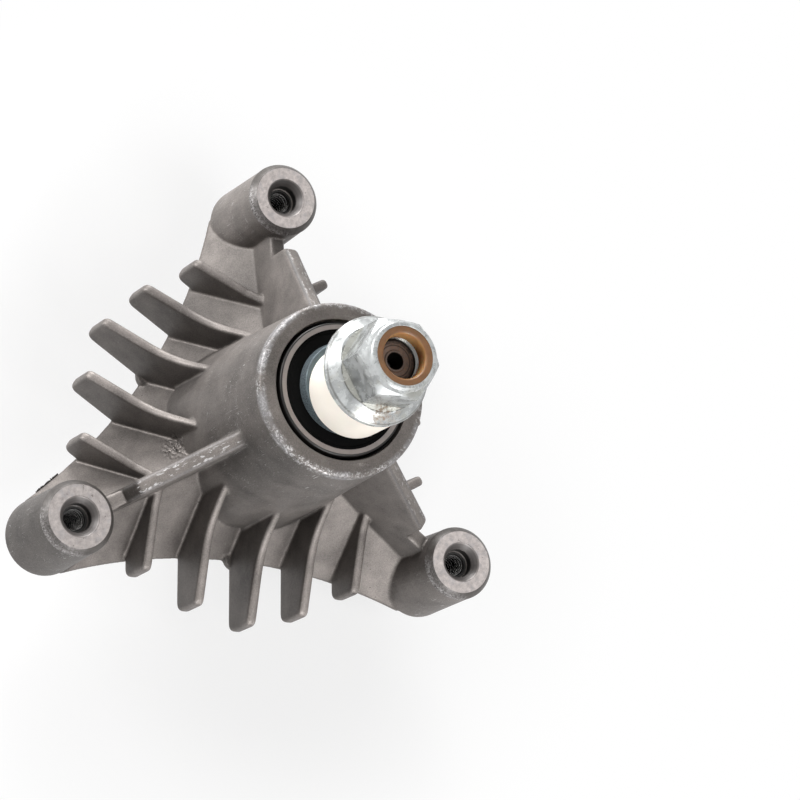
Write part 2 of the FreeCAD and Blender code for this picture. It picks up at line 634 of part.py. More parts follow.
def centre_hole():
    """Centre drill hole in the shaft's upper end."""
    mouth_height = SHAFT_TOP + CENTRE_LIP_HEIGHT
    cone_depth = (CENTRE_MOUTH_RADIUS - CENTRE_PILOT_RADIUS) / math.tan(math.radians(CENTRE_CONE_ANGLE / 2))
    floor = SHAFT_TOP - CENTRE_DEPTH
    return turned([(0, floor, 0), (CENTRE_PILOT_RADIUS, floor, 0),
                   (CENTRE_PILOT_RADIUS, mouth_height - cone_depth, 0),
                   (CENTRE_MOUTH_RADIUS, mouth_height, 0), (CENTRE_MOUTH_RADIUS, mouth_height + OVERSHOOT, 0),
                   (0, mouth_height + OVERSHOOT, 0)])


def blade_hole(foot):
    """Tapped hole for the blade bolt, with a bevelled mouth and the drill's cone at its end."""
    mouth = BLADE_HOLE_TAP_RADIUS + BLADE_HOLE_MOUTH_STEP
    top = foot + BLADE_HOLE_DEPTH
    return turned([(0, foot - OVERSHOOT, 0), (mouth, foot - OVERSHOOT, 0), (mouth, foot, 0),
                   (BLADE_HOLE_TAP_RADIUS, foot + BLADE_HOLE_MOUTH_STEP, 0), (BLADE_HOLE_TAP_RADIUS, top, 0),
                   (0, top + BLADE_HOLE_TAP_RADIUS / 2, 0)])


def shaft():
    """Shaft with thread and drive flats above, journals, and the blade flange and star below."""
    waist = BORE_RADIUS - WAIST_CUT
    waist_top = TOP_BEARING_FOOT - WAIST_MARGIN
    waist_foot = LOWER_BEARING_FACE + WAIST_MARGIN
    collar = BORE_RADIUS + COLLAR_STEP
    collar_foot = LOWER_BEARING_FOOT - COLLAR_HEIGHT
    flange_top = collar_foot - FLANGE_FLARE
    flange_foot = flange_top - FLANGE_HEIGHT
    star_foot = flange_foot - STAR_HEIGHT
    lip = CENTRE_MOUTH_RADIUS + CENTRE_LIP_WIDTH
    lip_top = SHAFT_TOP + CENTRE_LIP_HEIGHT
    body = turned([(0, flange_foot, 0), (FLANGE_RADIUS, flange_foot, FLANGE_ROUND),
                   (FLANGE_RADIUS, flange_top, FLANGE_ROUND), (collar, collar_foot, 0),
                   (collar, LOWER_BEARING_FOOT, 0), (BORE_RADIUS, LOWER_BEARING_FOOT, 0),
                   (BORE_RADIUS, waist_foot, 0), (waist, waist_foot, 0), (waist, waist_top, 0),
                   (BORE_RADIUS, waist_top, 0), (BORE_RADIUS, THREAD_START, JOURNAL_TOP_ROUND),
                   (THREAD_RADIUS, THREAD_START, 0), (THREAD_RADIUS, SHAFT_TOP - SHAFT_TOP_BEVEL, 0),
                   (THREAD_RADIUS - SHAFT_TOP_BEVEL, SHAFT_TOP, 0), (lip, SHAFT_TOP, 0),
                   (lip - CENTRE_LIP_HEIGHT, lip_top, 0), (0, lip_top, 0)])
    return body.fuse(blade_star(star_foot)).cut([drive_seat_cut(), centre_hole(), blade_hole(star_foot)])


def thrust_washer():
    """Thick washer on the top inner ring, its sheared side leaning in."""
    bore = BORE_RADIUS + SLIP_CLEARANCE
    top_radius = WASHER_RADIUS - WASHER_SHEAR
    return turned([(bore, TOP_BEARING_FACE, 0), (WASHER_RADIUS, TOP_BEARING_FACE, 0),
                   (top_radius, WASHER_TOP, WASHER_EDGE), (bore, WASHER_TOP, WASHER_EDGE / 2)])


def plastic_sleeve():
    """Loose sleeve between washer and nut; it leans against one side of the shaft."""
    bore = BORE_RADIUS + SLIP_CLEARANCE + SLEEVE_PLAY
    angle = math.radians(SLEEVE_LEAN_ANGLE)
    body = ring(bore, bore + SLEEVE_WALL, WASHER_TOP, NUT_SEAT, SLEEVE_EDGE)
    return moved(body, SLEEVE_PLAY * math.cos(angle), SLEEVE_PLAY * math.sin(angle), 0)


def nut_blank():
    """Turned blank of the nut: flange, cone, hexagon's circle, cone and crimped collar."""
    bore = THREAD_RADIUS + NUT_THREAD_CLEARANCE
    return turned([(bore + NUT_BORE_BEVEL, NUT_SEAT, 0),
                   (NUT_FLANGE_RADIUS - NUT_FLANGE_FOOT_BEVEL, NUT_SEAT, 0),
                   (NUT_FLANGE_RADIUS, NUT_SEAT + NUT_FLANGE_FOOT_BEVEL, 0),
                   (NUT_FLANGE_RADIUS, NUT_SEAT + NUT_FLANGE_RIM, NUT_FLANGE_ROUND),
                   (NUT_CORNER_RADIUS, NUT_SHELF, 0), (NUT_CORNER_RADIUS, NUT_HEXAGON_TOP, 0),
                   (NUT_COLLAR_RADIUS, NUT_COLLAR_FOOT, 0),
                   (NUT_COLLAR_TOP_RADIUS, NUT_TOP, NUT_COLLAR_ROUND), (RING_RADIUS, RING_TOP, 0),
                   (RING_RADIUS, RING_FOOT, 0), (bore, RING_FOOT, 0),
                   (bore, NUT_SEAT + NUT_BORE_BEVEL, 0)])


def nut_flat_cutter():
    """What lies outside one flat and above the sloping shelf at its foot."""
    flat = NUT_FLATS / 2
    far = 2 * NUT_FLANGE_RADIUS
    return plate([(flat, NUT_SHELF, 0), (far, NUT_SHELF - NUT_SHELF_SLOPE * (far - flat), 0),
                  (far, NUT_TOP + OVERSHOOT, 0), (flat, NUT_TOP + OVERSHOOT, 0)], far)


def lock_nut():
    """Flanged hexagon nut."""
    return nut_blank().cut(around(nut_flat_cutter(), NUT_SIDES, NUT_FIRST_FLAT_ANGLE))


def nylon_ring():
    """Locking ring held under the nut's crimped collar."""
    bore = THREAD_RADIUS - RING_GRIP
    outer = RING_RADIUS - PRESS_CLEARANCE
    top = RING_TOP - RING_TOP_GAP
    return turned([(bore, RING_FOOT, 0), (outer, RING_FOOT, 0), (outer, top, 0),
                   (bore, top, RING_MOUTH_ROUND)])


def main():
    """Build every node and write it to its own file."""
    os.makedirs("parts", exist_ok=True)
    nodes = {"housing": housing(), "spindle_shaft": shaft(), "spacer_tube": spacer_tube(),
             "thrust_washer": thrust_washer(), "plastic_sleeve": plastic_sleeve(),
             "flange_lock_nut": lock_nut(), "nylon_lock_ring": nylon_ring()}
    nodes.update(bearing("top_bearing", TOP_BEARING_FACE))
    nodes.update(bearing("lower_bearing", LOWER_BEARING_FACE))
    for name, shape in nodes.items():
        shape.exportStep("parts/" + name + ".step")
        print(name, "valid", shape.isValid(), "solids", len(shape.Solids), "volume", round(shape.Volume, 1))


main()
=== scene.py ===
"""Looks of the mower deck spindle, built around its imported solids."""

import json
import math

import bpy
import numpy as np
from mathutils import Matrix, Vector, kdtree, noise

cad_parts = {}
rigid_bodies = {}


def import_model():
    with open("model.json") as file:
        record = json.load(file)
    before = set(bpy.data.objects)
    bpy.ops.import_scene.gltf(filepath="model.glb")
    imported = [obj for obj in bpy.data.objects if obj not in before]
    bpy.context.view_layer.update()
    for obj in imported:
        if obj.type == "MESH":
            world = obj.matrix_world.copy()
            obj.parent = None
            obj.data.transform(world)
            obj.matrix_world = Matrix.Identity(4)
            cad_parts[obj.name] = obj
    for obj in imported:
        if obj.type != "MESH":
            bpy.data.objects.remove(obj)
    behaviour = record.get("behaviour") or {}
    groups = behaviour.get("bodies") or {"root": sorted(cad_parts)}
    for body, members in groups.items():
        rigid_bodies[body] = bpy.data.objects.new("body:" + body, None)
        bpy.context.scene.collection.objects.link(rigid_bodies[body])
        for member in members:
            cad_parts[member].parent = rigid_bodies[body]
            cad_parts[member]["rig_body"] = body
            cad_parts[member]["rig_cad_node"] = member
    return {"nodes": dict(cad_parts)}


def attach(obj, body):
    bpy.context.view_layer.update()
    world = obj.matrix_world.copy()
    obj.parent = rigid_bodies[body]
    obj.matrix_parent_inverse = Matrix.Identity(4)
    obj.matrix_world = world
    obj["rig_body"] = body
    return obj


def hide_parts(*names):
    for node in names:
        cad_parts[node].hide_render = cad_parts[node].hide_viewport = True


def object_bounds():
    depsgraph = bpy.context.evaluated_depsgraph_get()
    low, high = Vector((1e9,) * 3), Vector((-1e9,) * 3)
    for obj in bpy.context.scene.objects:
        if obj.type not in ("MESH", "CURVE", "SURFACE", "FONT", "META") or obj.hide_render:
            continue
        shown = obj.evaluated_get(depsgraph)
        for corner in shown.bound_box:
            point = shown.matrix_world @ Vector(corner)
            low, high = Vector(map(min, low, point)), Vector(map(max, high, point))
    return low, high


bl_info = {
    "name": "Mower deck spindle",
    "version": (1, 0, 0),
    "blender": (4, 5, 0),
    "location": "View3D > Sidebar > Spindle",
    "description": "Casting, threads, finishes and studio of a mower deck spindle",
    "category": "Object",
}

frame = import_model()
NODES = frame["nodes"]
CAD_BOX = [list(corner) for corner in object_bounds()]

MM = 0.001

# Places on the solids, in millimetres
LEG_RADIUS = 72.0
LEG_ANGLES = (90.0, 210.0, 330.0)
BOSS_FACE_RADIUS = 9.8
BOSS_BEVEL_RADIUS = 11.4
BOSS_SIDE_RADIUS = 12.0
BOSS_BEVEL_FOOT = -2.1
HOLE_MOUTH_RADIUS = 6.0
HOLE_WALL_RADIUS = 3.4
HOLE_THREAD_TOP = -4.9
HOLE_THREAD_FOOT = -25.0
FLASH_ENDS = ((-64.95, -22.65, -32.55), (-58.25, -16.15, -32.6))
ROUGH_PATCH = (-28.6, -8.4, -12.4)
ROUGH_PATCH_REACH = 5.5
# Bevel, face, countersink, relief and screw hole of a boss, as pairs of radius and height
BOSS_PROFILE = ((11.38, -2.5), (11.34, -2.2), (11.26, -1.97), (9.9, -0.16), (9.72, 0.0),
                (6.12, 0.0), (5.98, -0.08), (4.5, -2.1), (4.4, -2.25), (4.4, -4.86), (4.36, -4.9),
                (3.46, -4.9), (3.4, -4.96), (3.4, -25.0))
SEAT_RADIUS = 21.2
BEARING_RADIUS = 20.0
# Rounded edge of the hub's mouth round the bearing, as pairs of radius and height
HUB_MOUTH_PROFILE = ((22.5, 45.56), (22.0, 45.61), (21.25, 45.6), (21.08, 45.5), (21.0, 45.3),
                     (20.98, 42.6))
HUB_TOP = 45.6
HUB_FOOT_RADIUS = 29.0
WEB_STEP = 53.5
WEB_END = 57.0
HUB_RIM_RADIUS = 26.2
NUT_BORE_RADIUS = 7.25
NUT_THREAD_TOP = 82.2
NUT_SEAT = 66.2
NUT_SHELF = 72.0
NUT_HEXAGON_TOP = 82.3
NUT_CORNER_RADIUS = 12.7
NUT_FLANGE_RADIUS = 16.05
SHAFT_TOP = 80.3
SHAFT_HOLE_RADIUS = 2.35
SHAFT_WORN_RADIUS = 4.6
WASHER_RIM_RADIUS = 12.9
NYLON_BORE_RADIUS = 6.4
BLADE_HOLE_RADIUS = 4.3
BLADE_HOLE_FOOT = -56.3

# How far the casting stands back behind the clean holes, seat mouth and boss faces
HOLE_SET_BACK = 0.3
SEAT_SET_BACK = 0.35
FACE_SET_BACK = 0.25

# The photograph's camera, in millimetres and in pixels of its 800 x 800 frame
CAMERA_PLACE = (-357.2, -232.6, 828.4)
CAMERA_FORWARD = (0.418, 0.258, -0.871)
CAMERA_RIGHT = (0.899, 0.018, 0.437)
CAMERA_FOCAL_PIXELS = 3074.0
FRAME_PIXELS = 800.0
SENSOR_WIDTH = 36.0

# Studio lamps: name, place in metres, width in metres and power in watts
LAMPS = (
    ("key_lamp", (-0.13, 0.70, 0.23), 0.4, 6.4),
    ("left_lamp", (-0.65, 0.35, 0.14), 0.4, 5.0),
    ("low_lamp", (0.06, -0.68, 0.31), 0.4, 3.9),
    ("near_lamp", (0.18, -0.32, 0.65), 0.45, 1.7),
)
AIR_LIGHT = 0.0


def length_property(name, description, millimetres):
    return bpy.props.FloatProperty(name=name, description=description, default=millimetres * MM,
                                   unit="LENGTH", precision=5)


class SpindleSizes(bpy.types.PropertyGroup):
    """Sizes that the looks add to the solids."""

    grain_size: bpy.props.FloatProperty(
        name="Mesh grain", description="Size of the cells that the casting is rebuilt from",
        default=0.38 * MM, min=0.2 * MM, max=2 * MM, unit="LENGTH", precision=5)
    edge_rounds: bpy.props.IntProperty(
        name="Edge softening", description="Passes that round the casting's edges and corners",
        default=8, min=0, max=40)
    casting_faces: bpy.props.IntProperty(
        name="Casting faces", description="Number of faces the casting is thinned to",
        default=180000, min=20000, max=199000)
    hole_pitch: length_property(
        "Deck screw pitch", "Pitch of the threads in the boss holes", 1.41)
    hole_thread_depth: length_property(
        "Deck screw thread depth", "How far those threads stand in from the wall", 0.42)
    nut_pitch: length_property(
        "Nut pitch", "Pitch of the nut's thread", 1.41)
    nut_thread_depth: length_property(
        "Nut thread depth", "How far the nut's thread stands in from its wall", 0.7)
    blade_pitch: length_property(
        "Blade screw pitch", "Pitch of the thread in the blade hole", 1.59)
    blade_thread_depth: length_property(
        "Blade screw thread depth", "How far that thread stands in from its wall", 0.5)


def colour_property(name, description, default):
    return bpy.props.FloatVectorProperty(
        name=name, description=description, default=default, subtype="COLOR", min=0.0, max=1.0)


class SpindleColours(bpy.types.PropertyGroup):
    """Base colours of the finishes."""

    casting: colour_property("Casting", "Blasted cast aluminium", (0.158, 0.142, 0.132))
    machined: colour_property("Machined", "Faces cut bright after casting", (0.43, 0.39, 0.375))
    worn: colour_property("Worn metal", "Rubbed and scratched aluminium", (0.66, 0.65, 0.65))
    zinc: colour_property("Zinc", "Bright zinc of the nut", (0.46, 0.475, 0.475))
    blue_zinc: colour_property("Blue zinc", "Bluish zinc of the washer", (0.10, 0.13, 0.142))
    rust: colour_property("Rust", "Stain on the nut", (0.22, 0.12, 0.055))
    sleeve: colour_property("Sleeve", "Cream plastic", (0.90, 0.84, 0.755))
    nylon: colour_property("Nylon", "Amber nylon ring", (0.215, 0.103, 0.042))
    shaft: colour_property("Shaft", "Dark oiled steel", (0.17, 0.128, 0.107))
    steel: colour_property("Steel", "Ground bearing steel", (0.25, 0.222, 0.21))
    seal: colour_property("Seal", "Black rubber", (0.004, 0.004, 0.004))
    floor: colour_property("Floor", "Pale studio floor", (0.97, 0.97, 0.97))


def sizes():
    return bpy.context.scene.spindle_sizes


def colours():
    return bpy.context.scene.spindle_colours


def edit():
    bpy.ops.object.mode_set(mode="EDIT")


def leave_edit():
    bpy.ops.object.mode_set(mode="OBJECT")


def deselect_all():
    if bpy.context.mode != "OBJECT":
        leave_edit()
    bpy.ops.object.select_all(action="DESELECT")


def pick(piece):
    """Makes one piece the only selected and the active one."""
    deselect_all()
    piece.select_set(True)
    bpy.context.view_layer.objects.active = piece


def select_points(piece, chosen):
    """Leaves edit mode's selection at the points that the test chooses."""
    bpy.ops.mesh.select_mode(type="VERT")
    bpy.ops.mesh.select_all(action="DESELECT")
    leave_edit()
    for vertex in piece.data.vertices:
        vertex.select = chosen(vertex.co)
    edit()


def apply_all_modifiers(piece):
    pick(piece)
    for modifier in list(piece.modifiers):
        bpy.ops.object.modifier_apply(modifier=modifier.name)


def own_copy(piece, name):
    """A copy with its own mesh, that rides on nothing yet."""
    twin = piece.copy()
    twin.data = piece.data.copy()
    twin.name = name
    twin.data.name = name
    bpy.context.scene.collection.objects.link(twin)
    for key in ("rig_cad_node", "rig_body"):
        if key in twin:
            del twin[key]
    twin.parent = None
    return twin


def new_piece(name):
    """Names the primitive just added and puts its place into its mesh."""
    piece = bpy.context.active_object
    piece.name = name
    piece.data.name = name
    bpy.ops.object.transform_apply(location=True, rotation=True, scale=True)
    return piece


def settle(piece, material):
    """Puts a finished piece's place into its mesh and gives it its material."""
    pick(piece)
    bpy.ops.object.transform_apply(location=True, rotation=True, scale=True)
    piece.data.materials.clear()
    piece.data.materials.append(material)


class Finish:
    """One material and the nodes that make it. Lengths in it are millimetres."""

    def __init__(self, name):
        self.material = bpy.data.materials.new(name)
        self.material.use_nodes = True
        self.tree = self.material.node_tree
        self.shader = self.tree.nodes["Principled BSDF"]
        place = self.tree.nodes.new("ShaderNodeTexCoord")
        in_mm = self.tree.nodes.new("ShaderNodeMapping")
        in_mm.inputs["Scale"].default_value = (1 / MM, 1 / MM, 1 / MM)
        self.tree.links.new(place.outputs["Object"], in_mm.inputs["Vector"])
        self.place = in_mm.outputs["Vector"]
        parts = self.node("ShaderNodeSeparateXYZ", Vector=self.place)
        self.x, self.y, self.z = parts.outputs
        self.radius = self.root(self.x, self.y)
        self.angle = self.sum("ARCTAN2", self.y, self.x)

    def feed(self, socket, value):
        if isinstance(value, bpy.types.NodeSocket):
            self.tree.links.new(value, socket)
        elif value is not None:
            if hasattr(value, "__len__") and len(value) == 3 and socket.type == "RGBA":
                value = (*value, 1.0)
            socket.default_value = value

    def node(self, kind, **values):
        made = self.tree.nodes.new(kind)
        for name, value in values.items():
            self.feed(made.inputs[name], value)
        return made

    def sum(self, operation, first, second=None, third=None):
        made = self.tree.nodes.new("ShaderNodeMath")
        made.operation = operation
        for socket, value in zip(made.inputs, (first, second, third)):
            self.feed(socket, value)
        return made.outputs[0]

    def times(self, first, second):
        return self.sum("MULTIPLY", first, second)

    def plus(self, first, second):
        return self.sum("ADD", first, second)

    def minus(self, first, second):
        return self.sum("SUBTRACT", first, second)

    def off(self, value, middle):
        """How far a value is from the middle one, either way."""
        return self.sum("ABSOLUTE", self.minus(value, middle))

    def root(self, *parts):
        """Root of the sum of the squares."""
        total = None
        for part in parts:
            square = self.times(part, part)
            total = square if total is None else self.plus(total, square)
        return self.sum("SQRT", total)

    def rise(self, value, low, high):
        """0 below low, 1 above high, smooth between. With low over high it falls."""
        made = self.tree.nodes.new("ShaderNodeMapRange")
        made.interpolation_type = "SMOOTHSTEP"
        flip = low > high
        self.feed(made.inputs["Value"], value)
        made.inputs["From Min"].default_value = min(low, high)
        made.inputs["From Max"].default_value = max(low, high)
        made.inputs["To Min"].default_value = 1.0 if flip else 0.0
        made.inputs["To Max"].default_value = 0.0 if flip else 1.0
        return made.outputs["Result"]

    def scale(self, value, low, high, to_low, to_high):
        made = self.tree.nodes.new("ShaderNodeMapRange")
        self.feed(made.inputs["Value"], value)
        names = ("From Min", "From Max", "To Min", "To Max")
        for name, number in zip(names, (low, high, to_low, to_high)):
            made.inputs[name].default_value = number
        return made.outputs["Result"]

    def spread(self, value, low, high):
        """A noise, most of which lies from 0.3 to 0.7, stretched to run from low to high."""
        return self.scale(value, 0.3, 0.7, low, high)

    def all_of(self, *masks):
        total = masks[0]
        for mask in masks[1:]:
            total = self.times(total, mask)
        return total

    def any_of(self, *masks):
        total = masks[0]
        for mask in masks[1:]:
            total = self.sum("MAXIMUM", total, mask)
        return total

    def but_not(self, mask, other):
        return self.times(mask, self.minus(1.0, other))

    def noise(self, size, detail=3.0, roughness=0.6, place=None, distortion=0.0, seed=0.0):
        """Noise whose lumps are about the given size in millimetres."""
        made = self.tree.nodes.new("ShaderNodeTexNoise")
        made.noise_dimensions = "4D" if seed else "3D"
        self.feed(made.inputs["Vector"], place or self.place)
        made.inputs["Scale"].default_value = 1.0 / size
        made.inputs["Detail"].default_value = detail
        made.inputs["Roughness"].default_value = roughness
        made.inputs["Distortion"].default_value = distortion
        if seed:
            made.inputs["W"].default_value = seed
        return made.outputs["Fac"]

    def blots(self, low, high, *shape, **more):
        """Where the noise rises from low to high. The rest is as noise takes it."""
        return self.rise(self.noise(*shape, **more), low, high)

    def cells(self, size):
        """Distance from random points that lie about the given size apart."""
        made = self.tree.nodes.new("ShaderNodeTexVoronoi")
        self.feed(made.inputs["Vector"], self.place)
        made.inputs["Scale"].default_value = 1.0 / size
        return made.outputs["Distance"]

    def vector(self, x, y, z):
        return self.node("ShaderNodeCombineXYZ", X=x, Y=y, Z=z).outputs[0]

    def stretched(self, x, y, z):
        """The place with each axis divided by a stretch."""
        made = self.tree.nodes.new("ShaderNodeMapping")
        self.feed(made.inputs["Vector"], self.place)
        made.inputs["Scale"].default_value = (1.0 / x, 1.0 / y, 1.0 / z)
        return made.outputs["Vector"]

    def blend(self, mask, first, second):
        """The first colour where the mask is 0, the second where it is 1."""
        made = self.tree.nodes.new("ShaderNodeMix")
        made.data_type = "RGBA"
        self.feed(made.inputs["Factor"], mask)
        colour_sockets = [s for s in made.inputs if s.type == "RGBA"]
        self.feed(colour_sockets[0], first)
        self.feed(colour_sockets[1], second)
        return [s for s in made.outputs if s.type == "RGBA"][0]

    def over(self, under, top, mask, share):
        """The top colour over the other one, by a share of the mask."""
        return self.blend(self.times(mask, share), under, top)

    def level(self, mask, first, second):
        """The first number where the mask is 0, the second where it is 1."""
        made = self.tree.nodes.new("ShaderNodeMix")
        made.data_type = "FLOAT"
        self.feed(made.inputs[0], mask)
        self.feed(made.inputs[2], first)
        self.feed(made.inputs[3], second)
        return made.outputs[0]

    def brightened(self, colour, factor):
        """A colour times a number."""
        made = self.tree.nodes.new("ShaderNodeVectorMath")
        made.operation = "SCALE"
        self.feed(made.inputs[0], colour)
        self.feed(made.inputs["Scale"], factor)
        return made.outputs[0]

    def attribute(self, name):
        made = self.tree.nodes.new("ShaderNodeAttribute")
        made.attribute_name = name
        return made.outputs["Fac"]

    def openness(self, reach):
        """1 in the open, towards 0 in corners that are narrower than the reach."""
        made = self.tree.nodes.new("ShaderNodeAmbientOcclusion")
        made.samples = 4
        made.only_local = True
        made.inputs["Distance"].default_value = reach * MM
        return made.outputs["AO"]

    def bump(self, height, depth):
        """Bump of the given depth in millimetres for heights from 0 to 1."""
        made = self.tree.nodes.new("ShaderNodeBump")
        made.inputs["Distance"].default_value = depth * MM
        self.feed(made.inputs["Height"], height)
        return made.outputs["Normal"]

    def leg_turn(self):
        """Angle from the nearest leg's middle line."""
        return self.sum("WRAP", self.minus(self.angle, math.pi / 2), math.pi / 3, -math.pi / 3)

    def leg(self):
        """Place along and across the nearest leg, and distance from its boss hole's axis."""
        turn = self.leg_turn()
        along = self.times(self.radius, self.sum("COSINE", turn))
        across = self.times(self.radius, self.sum("SINE", turn))
        return along, across, self.root(self.minus(along, LEG_RADIUS), across)

    def low_side_of_boss(self):
        """How far a place lies towards -X and -Y from the nearest boss hole's axis."""
        leg = self.minus(self.angle, self.leg_turn())
        off_x = self.minus(self.x, self.times(self.sum("COSINE", leg), LEG_RADIUS))
        off_y = self.minus(self.y, self.times(self.sum("SINE", leg), LEG_RADIUS))
        return self.plus(self.times(off_x, -0.7), self.times(off_y, -0.7))

    def cracks(self, size, width, place):
        """Thin lines between cells of the given size."""
        made = self.tree.nodes.new("ShaderNodeTexVoronoi")
        made.feature = "DISTANCE_TO_EDGE"
        self.feed(made.inputs["Vector"], place)
        made.inputs["Scale"].default_value = 1.0 / size
        return self.rise(made.outputs["Distance"], width / size, 0.4 * width / size)

    def give(self, **sockets):
        names = {"colour": "Base Color", "metal": "Metallic", "rough": "Roughness", "normal": "Normal",
                 "specular": "Specular IOR Level", "through": "Subsurface Weight",
                 "through_scale": "Subsurface Scale"}
        for name, value in sockets.items():
            self.feed(self.shader.inputs[names[name]], value)
        return self.material


def cast_aluminium_finish():
    """Blasted casting, with machined faces, dark pits and rubbed edges, and painted light and shade:
    faces that look up lighter, sides darker, painted shade in corners, painted shadow on the left web's
    step and in the bearing seat, painted highlights on edges and creases.
    """
    f = Finish("cast_aluminium")
    tint = colours()
    along, across, boss = f.leg()
    across_size = f.sum("ABSOLUTE", across)
    grain = f.noise(0.45, 2.0, 0.7)
    fine = f.noise(0.22, 1.0, 0.6, seed=3.0)
    lumps = f.noise(7.0, 4.0, 0.55)
    patches = f.noise(16.0, 3.0, 0.5, seed=7.0)

    level = f.plus(f.spread(lumps, 0.8, 1.18), f.scale(grain, 0.35, 0.65, -0.08, 0.1))
    level = f.plus(level, f.scale(fine, 0.35, 0.65, -0.14, 0.16))
    level = f.plus(level, f.scale(patches, 0.35, 0.65, -0.12, 0.12))
    upward = f.rise(f.attribute("upward"), 0.35, 0.65)
    hub_side = f.all_of(f.rise(f.radius, HUB_FOOT_RADIUS, HUB_FOOT_RADIUS - 2.0), f.rise(f.z, 2.0, 8.0),
                        f.rise(f.z, HUB_TOP - 0.6, HUB_TOP - 3.0))
    boss_side = f.all_of(f.rise(boss, BOSS_SIDE_RADIUS + 1.0, BOSS_SIDE_RADIUS), f.rise(f.z, 1.0, 0.0))
    sides = f.any_of(hub_side, boss_side)
    skirt = f.but_not(upward, sides)
    fin = f.but_not(f.minus(1.0, upward), sides)
    # Painted light and shade: faces that look up (the skirt) are made lighter, and the fin and web sides
    # darker, by the way they face.
    tone_and_painted_light = f.plus(f.times(skirt, 0.28), f.times(fin, -0.16))
    # Painted shade: a band of the hub's side below the left web, on the side away from the lamps, made
    # darker.
    painted_hub_shade = f.all_of(hub_side, f.rise(f.angle, -2.75, -2.5), f.rise(f.angle, -1.75, -2.2))
    # Painted shade: the side of the boss on the left (x below -50 mm) made darker.
    left_boss_shade = f.all_of(boss_side, f.rise(f.x, -45.0, -55.0))
    rim_top = f.all_of(f.rise(f.z, HUB_TOP - 1.0, HUB_TOP - 0.4),
                       f.rise(f.radius, HUB_FOOT_RADIUS, HUB_FOOT_RADIUS - 2.0))
    stains = f.blots(0.54, 0.7, 15.0, 3.0, 0.6, seed=61.0)
    # Painted shade: skirt faces towards +Y made darker.
    painted_skirt_shade = f.all_of(skirt, f.rise(f.y, 15.0, 45.0))
    # Painted light: the hub, boss and web sides towards +Y, which face the key lamp, made lighter
    # (negative shares below).
    painted_hub_light = f.all_of(hub_side, f.rise(f.y, 6.0, 20.0))
    painted_boss_light = f.all_of(boss_side, f.rise(f.y, 50.0, 60.0))
    painted_web_light = f.all_of(fin, f.rise(across_size, 4.0, 3.0), f.rise(f.y, 25.0, 35.0))
    # Painted shade: the shares for the hub's and the bosses' upright sides make those sides darker. The
    # rim top and the stains are the casting's own tone.
    for mask, share in ((rim_top, 0.42), (stains, 0.15), (hub_side, 0.3), (boss_side, 0.14),
                        (painted_hub_shade, 0.26), (left_boss_shade, 0.36), (painted_skirt_shade, 0.36), (painted_hub_light, -0.3),
                        (painted_boss_light, -0.2), (painted_web_light, -0.25)):
        tone_and_painted_light = f.minus(tone_and_painted_light, f.times(mask, share))
    colour = f.brightened(tint.casting, f.times(level, f.plus(tone_and_painted_light, 1.0)))
    dots = f.all_of(f.blots(0.34, 0.27, 0.4, 1.0, 0.6, seed=31.0), f.rise(patches, 0.4, 0.6))
    colour = f.over(colour, (0.03, 0.027, 0.025), dots, 0.45)
    sparks = f.all_of(sides, f.blots(0.64, 0.7, 0.45, 2.0, 0.6, seed=37.0))
    colour = f.over(colour, (0.3, 0.29, 0.27), sparks, 0.5)

    bevel = f.all_of(f.rise(boss, BOSS_BEVEL_RADIUS + 0.3, BOSS_BEVEL_RADIUS - 0.3),
                     f.rise(f.z, BOSS_BEVEL_FOOT - 0.3, BOSS_BEVEL_FOOT + 0.2))
    seat = f.all_of(f.rise(f.radius, SEAT_RADIUS - 0.3, SEAT_RADIUS - 0.5), f.rise(f.z, 20.0, 22.0))
    rim_edge = f.all_of(f.rise(f.radius, HUB_RIM_RADIUS - 2.2, HUB_RIM_RADIUS - 1.0),
                        f.rise(f.z, HUB_TOP - 3.4, HUB_TOP - 1.6))
    web = f.all_of(f.rise(across_size, 2.9, 2.5), f.rise(f.z, -8.0, -5.0),
                   f.rise(along, HUB_FOOT_RADIUS - 2.0, HUB_FOOT_RADIUS))
    web_top = f.all_of(web, upward, f.rise(along, WEB_STEP + 1.0, WEB_STEP))
    edges = f.rise(f.attribute("edge"), 0.25, 0.8)

    scuffs = f.blots(0.5, 0.6, 0.9, 4.0, 0.75, distortion=0.6)
    coarse = f.blots(0.42, 0.62, 5.0, 3.0, 0.6, seed=11.0)
    rim_wear = f.all_of(rim_edge, scuffs, f.scale(coarse, 0.0, 1.0, 0.35, 1.0))
    streaks = f.noise(1.0, 4.0, 0.7, place=f.vector(f.times(along, 0.45), f.times(across, 1.1), 0.0),
                      distortion=0.5, seed=43.0)
    web_wear = f.all_of(web_top, f.rise(across_size, 1.9, 1.2), f.rise(streaks, 0.56, 0.62),
                        f.scale(f.rise(f.x, -12.0, -24.0), 0.0, 1.0, 0.4, 1.0))
    edge_wear = f.all_of(edges, f.rise(grain, 0.42, 0.62), f.scale(coarse, 0.0, 1.0, 0.25, 0.8))
    scratches = None
    for number, stretch in enumerate(((0.13, 5.0, 2.0), (2.5, 0.14, 5.5), (2.0, 5.0, 0.15))):
        lines = f.noise(1.0, 1.0, 0.5, place=f.stretched(*stretch), distortion=0.3, seed=51.0 + number)
        lines = f.rise(lines, 0.68, 0.73)
        scratches = lines if scratches is None else f.any_of(scratches, lines)
    scratches = f.all_of(scratches, sides, f.blots(0.46, 0.58, 8.0, 2.0, 0.6, seed=57.0))
    flecks = f.all_of(f.blots(0.68, 0.74, 1.1, 3.0, 0.7, seed=19.0), f.rise(lumps, 0.45, 0.6))
    wear = f.any_of(rim_wear, web_wear, f.times(edge_wear, 0.3), f.times(flecks, 0.4),
                    f.times(scratches, 0.5))
    wear = f.but_not(wear, seat)

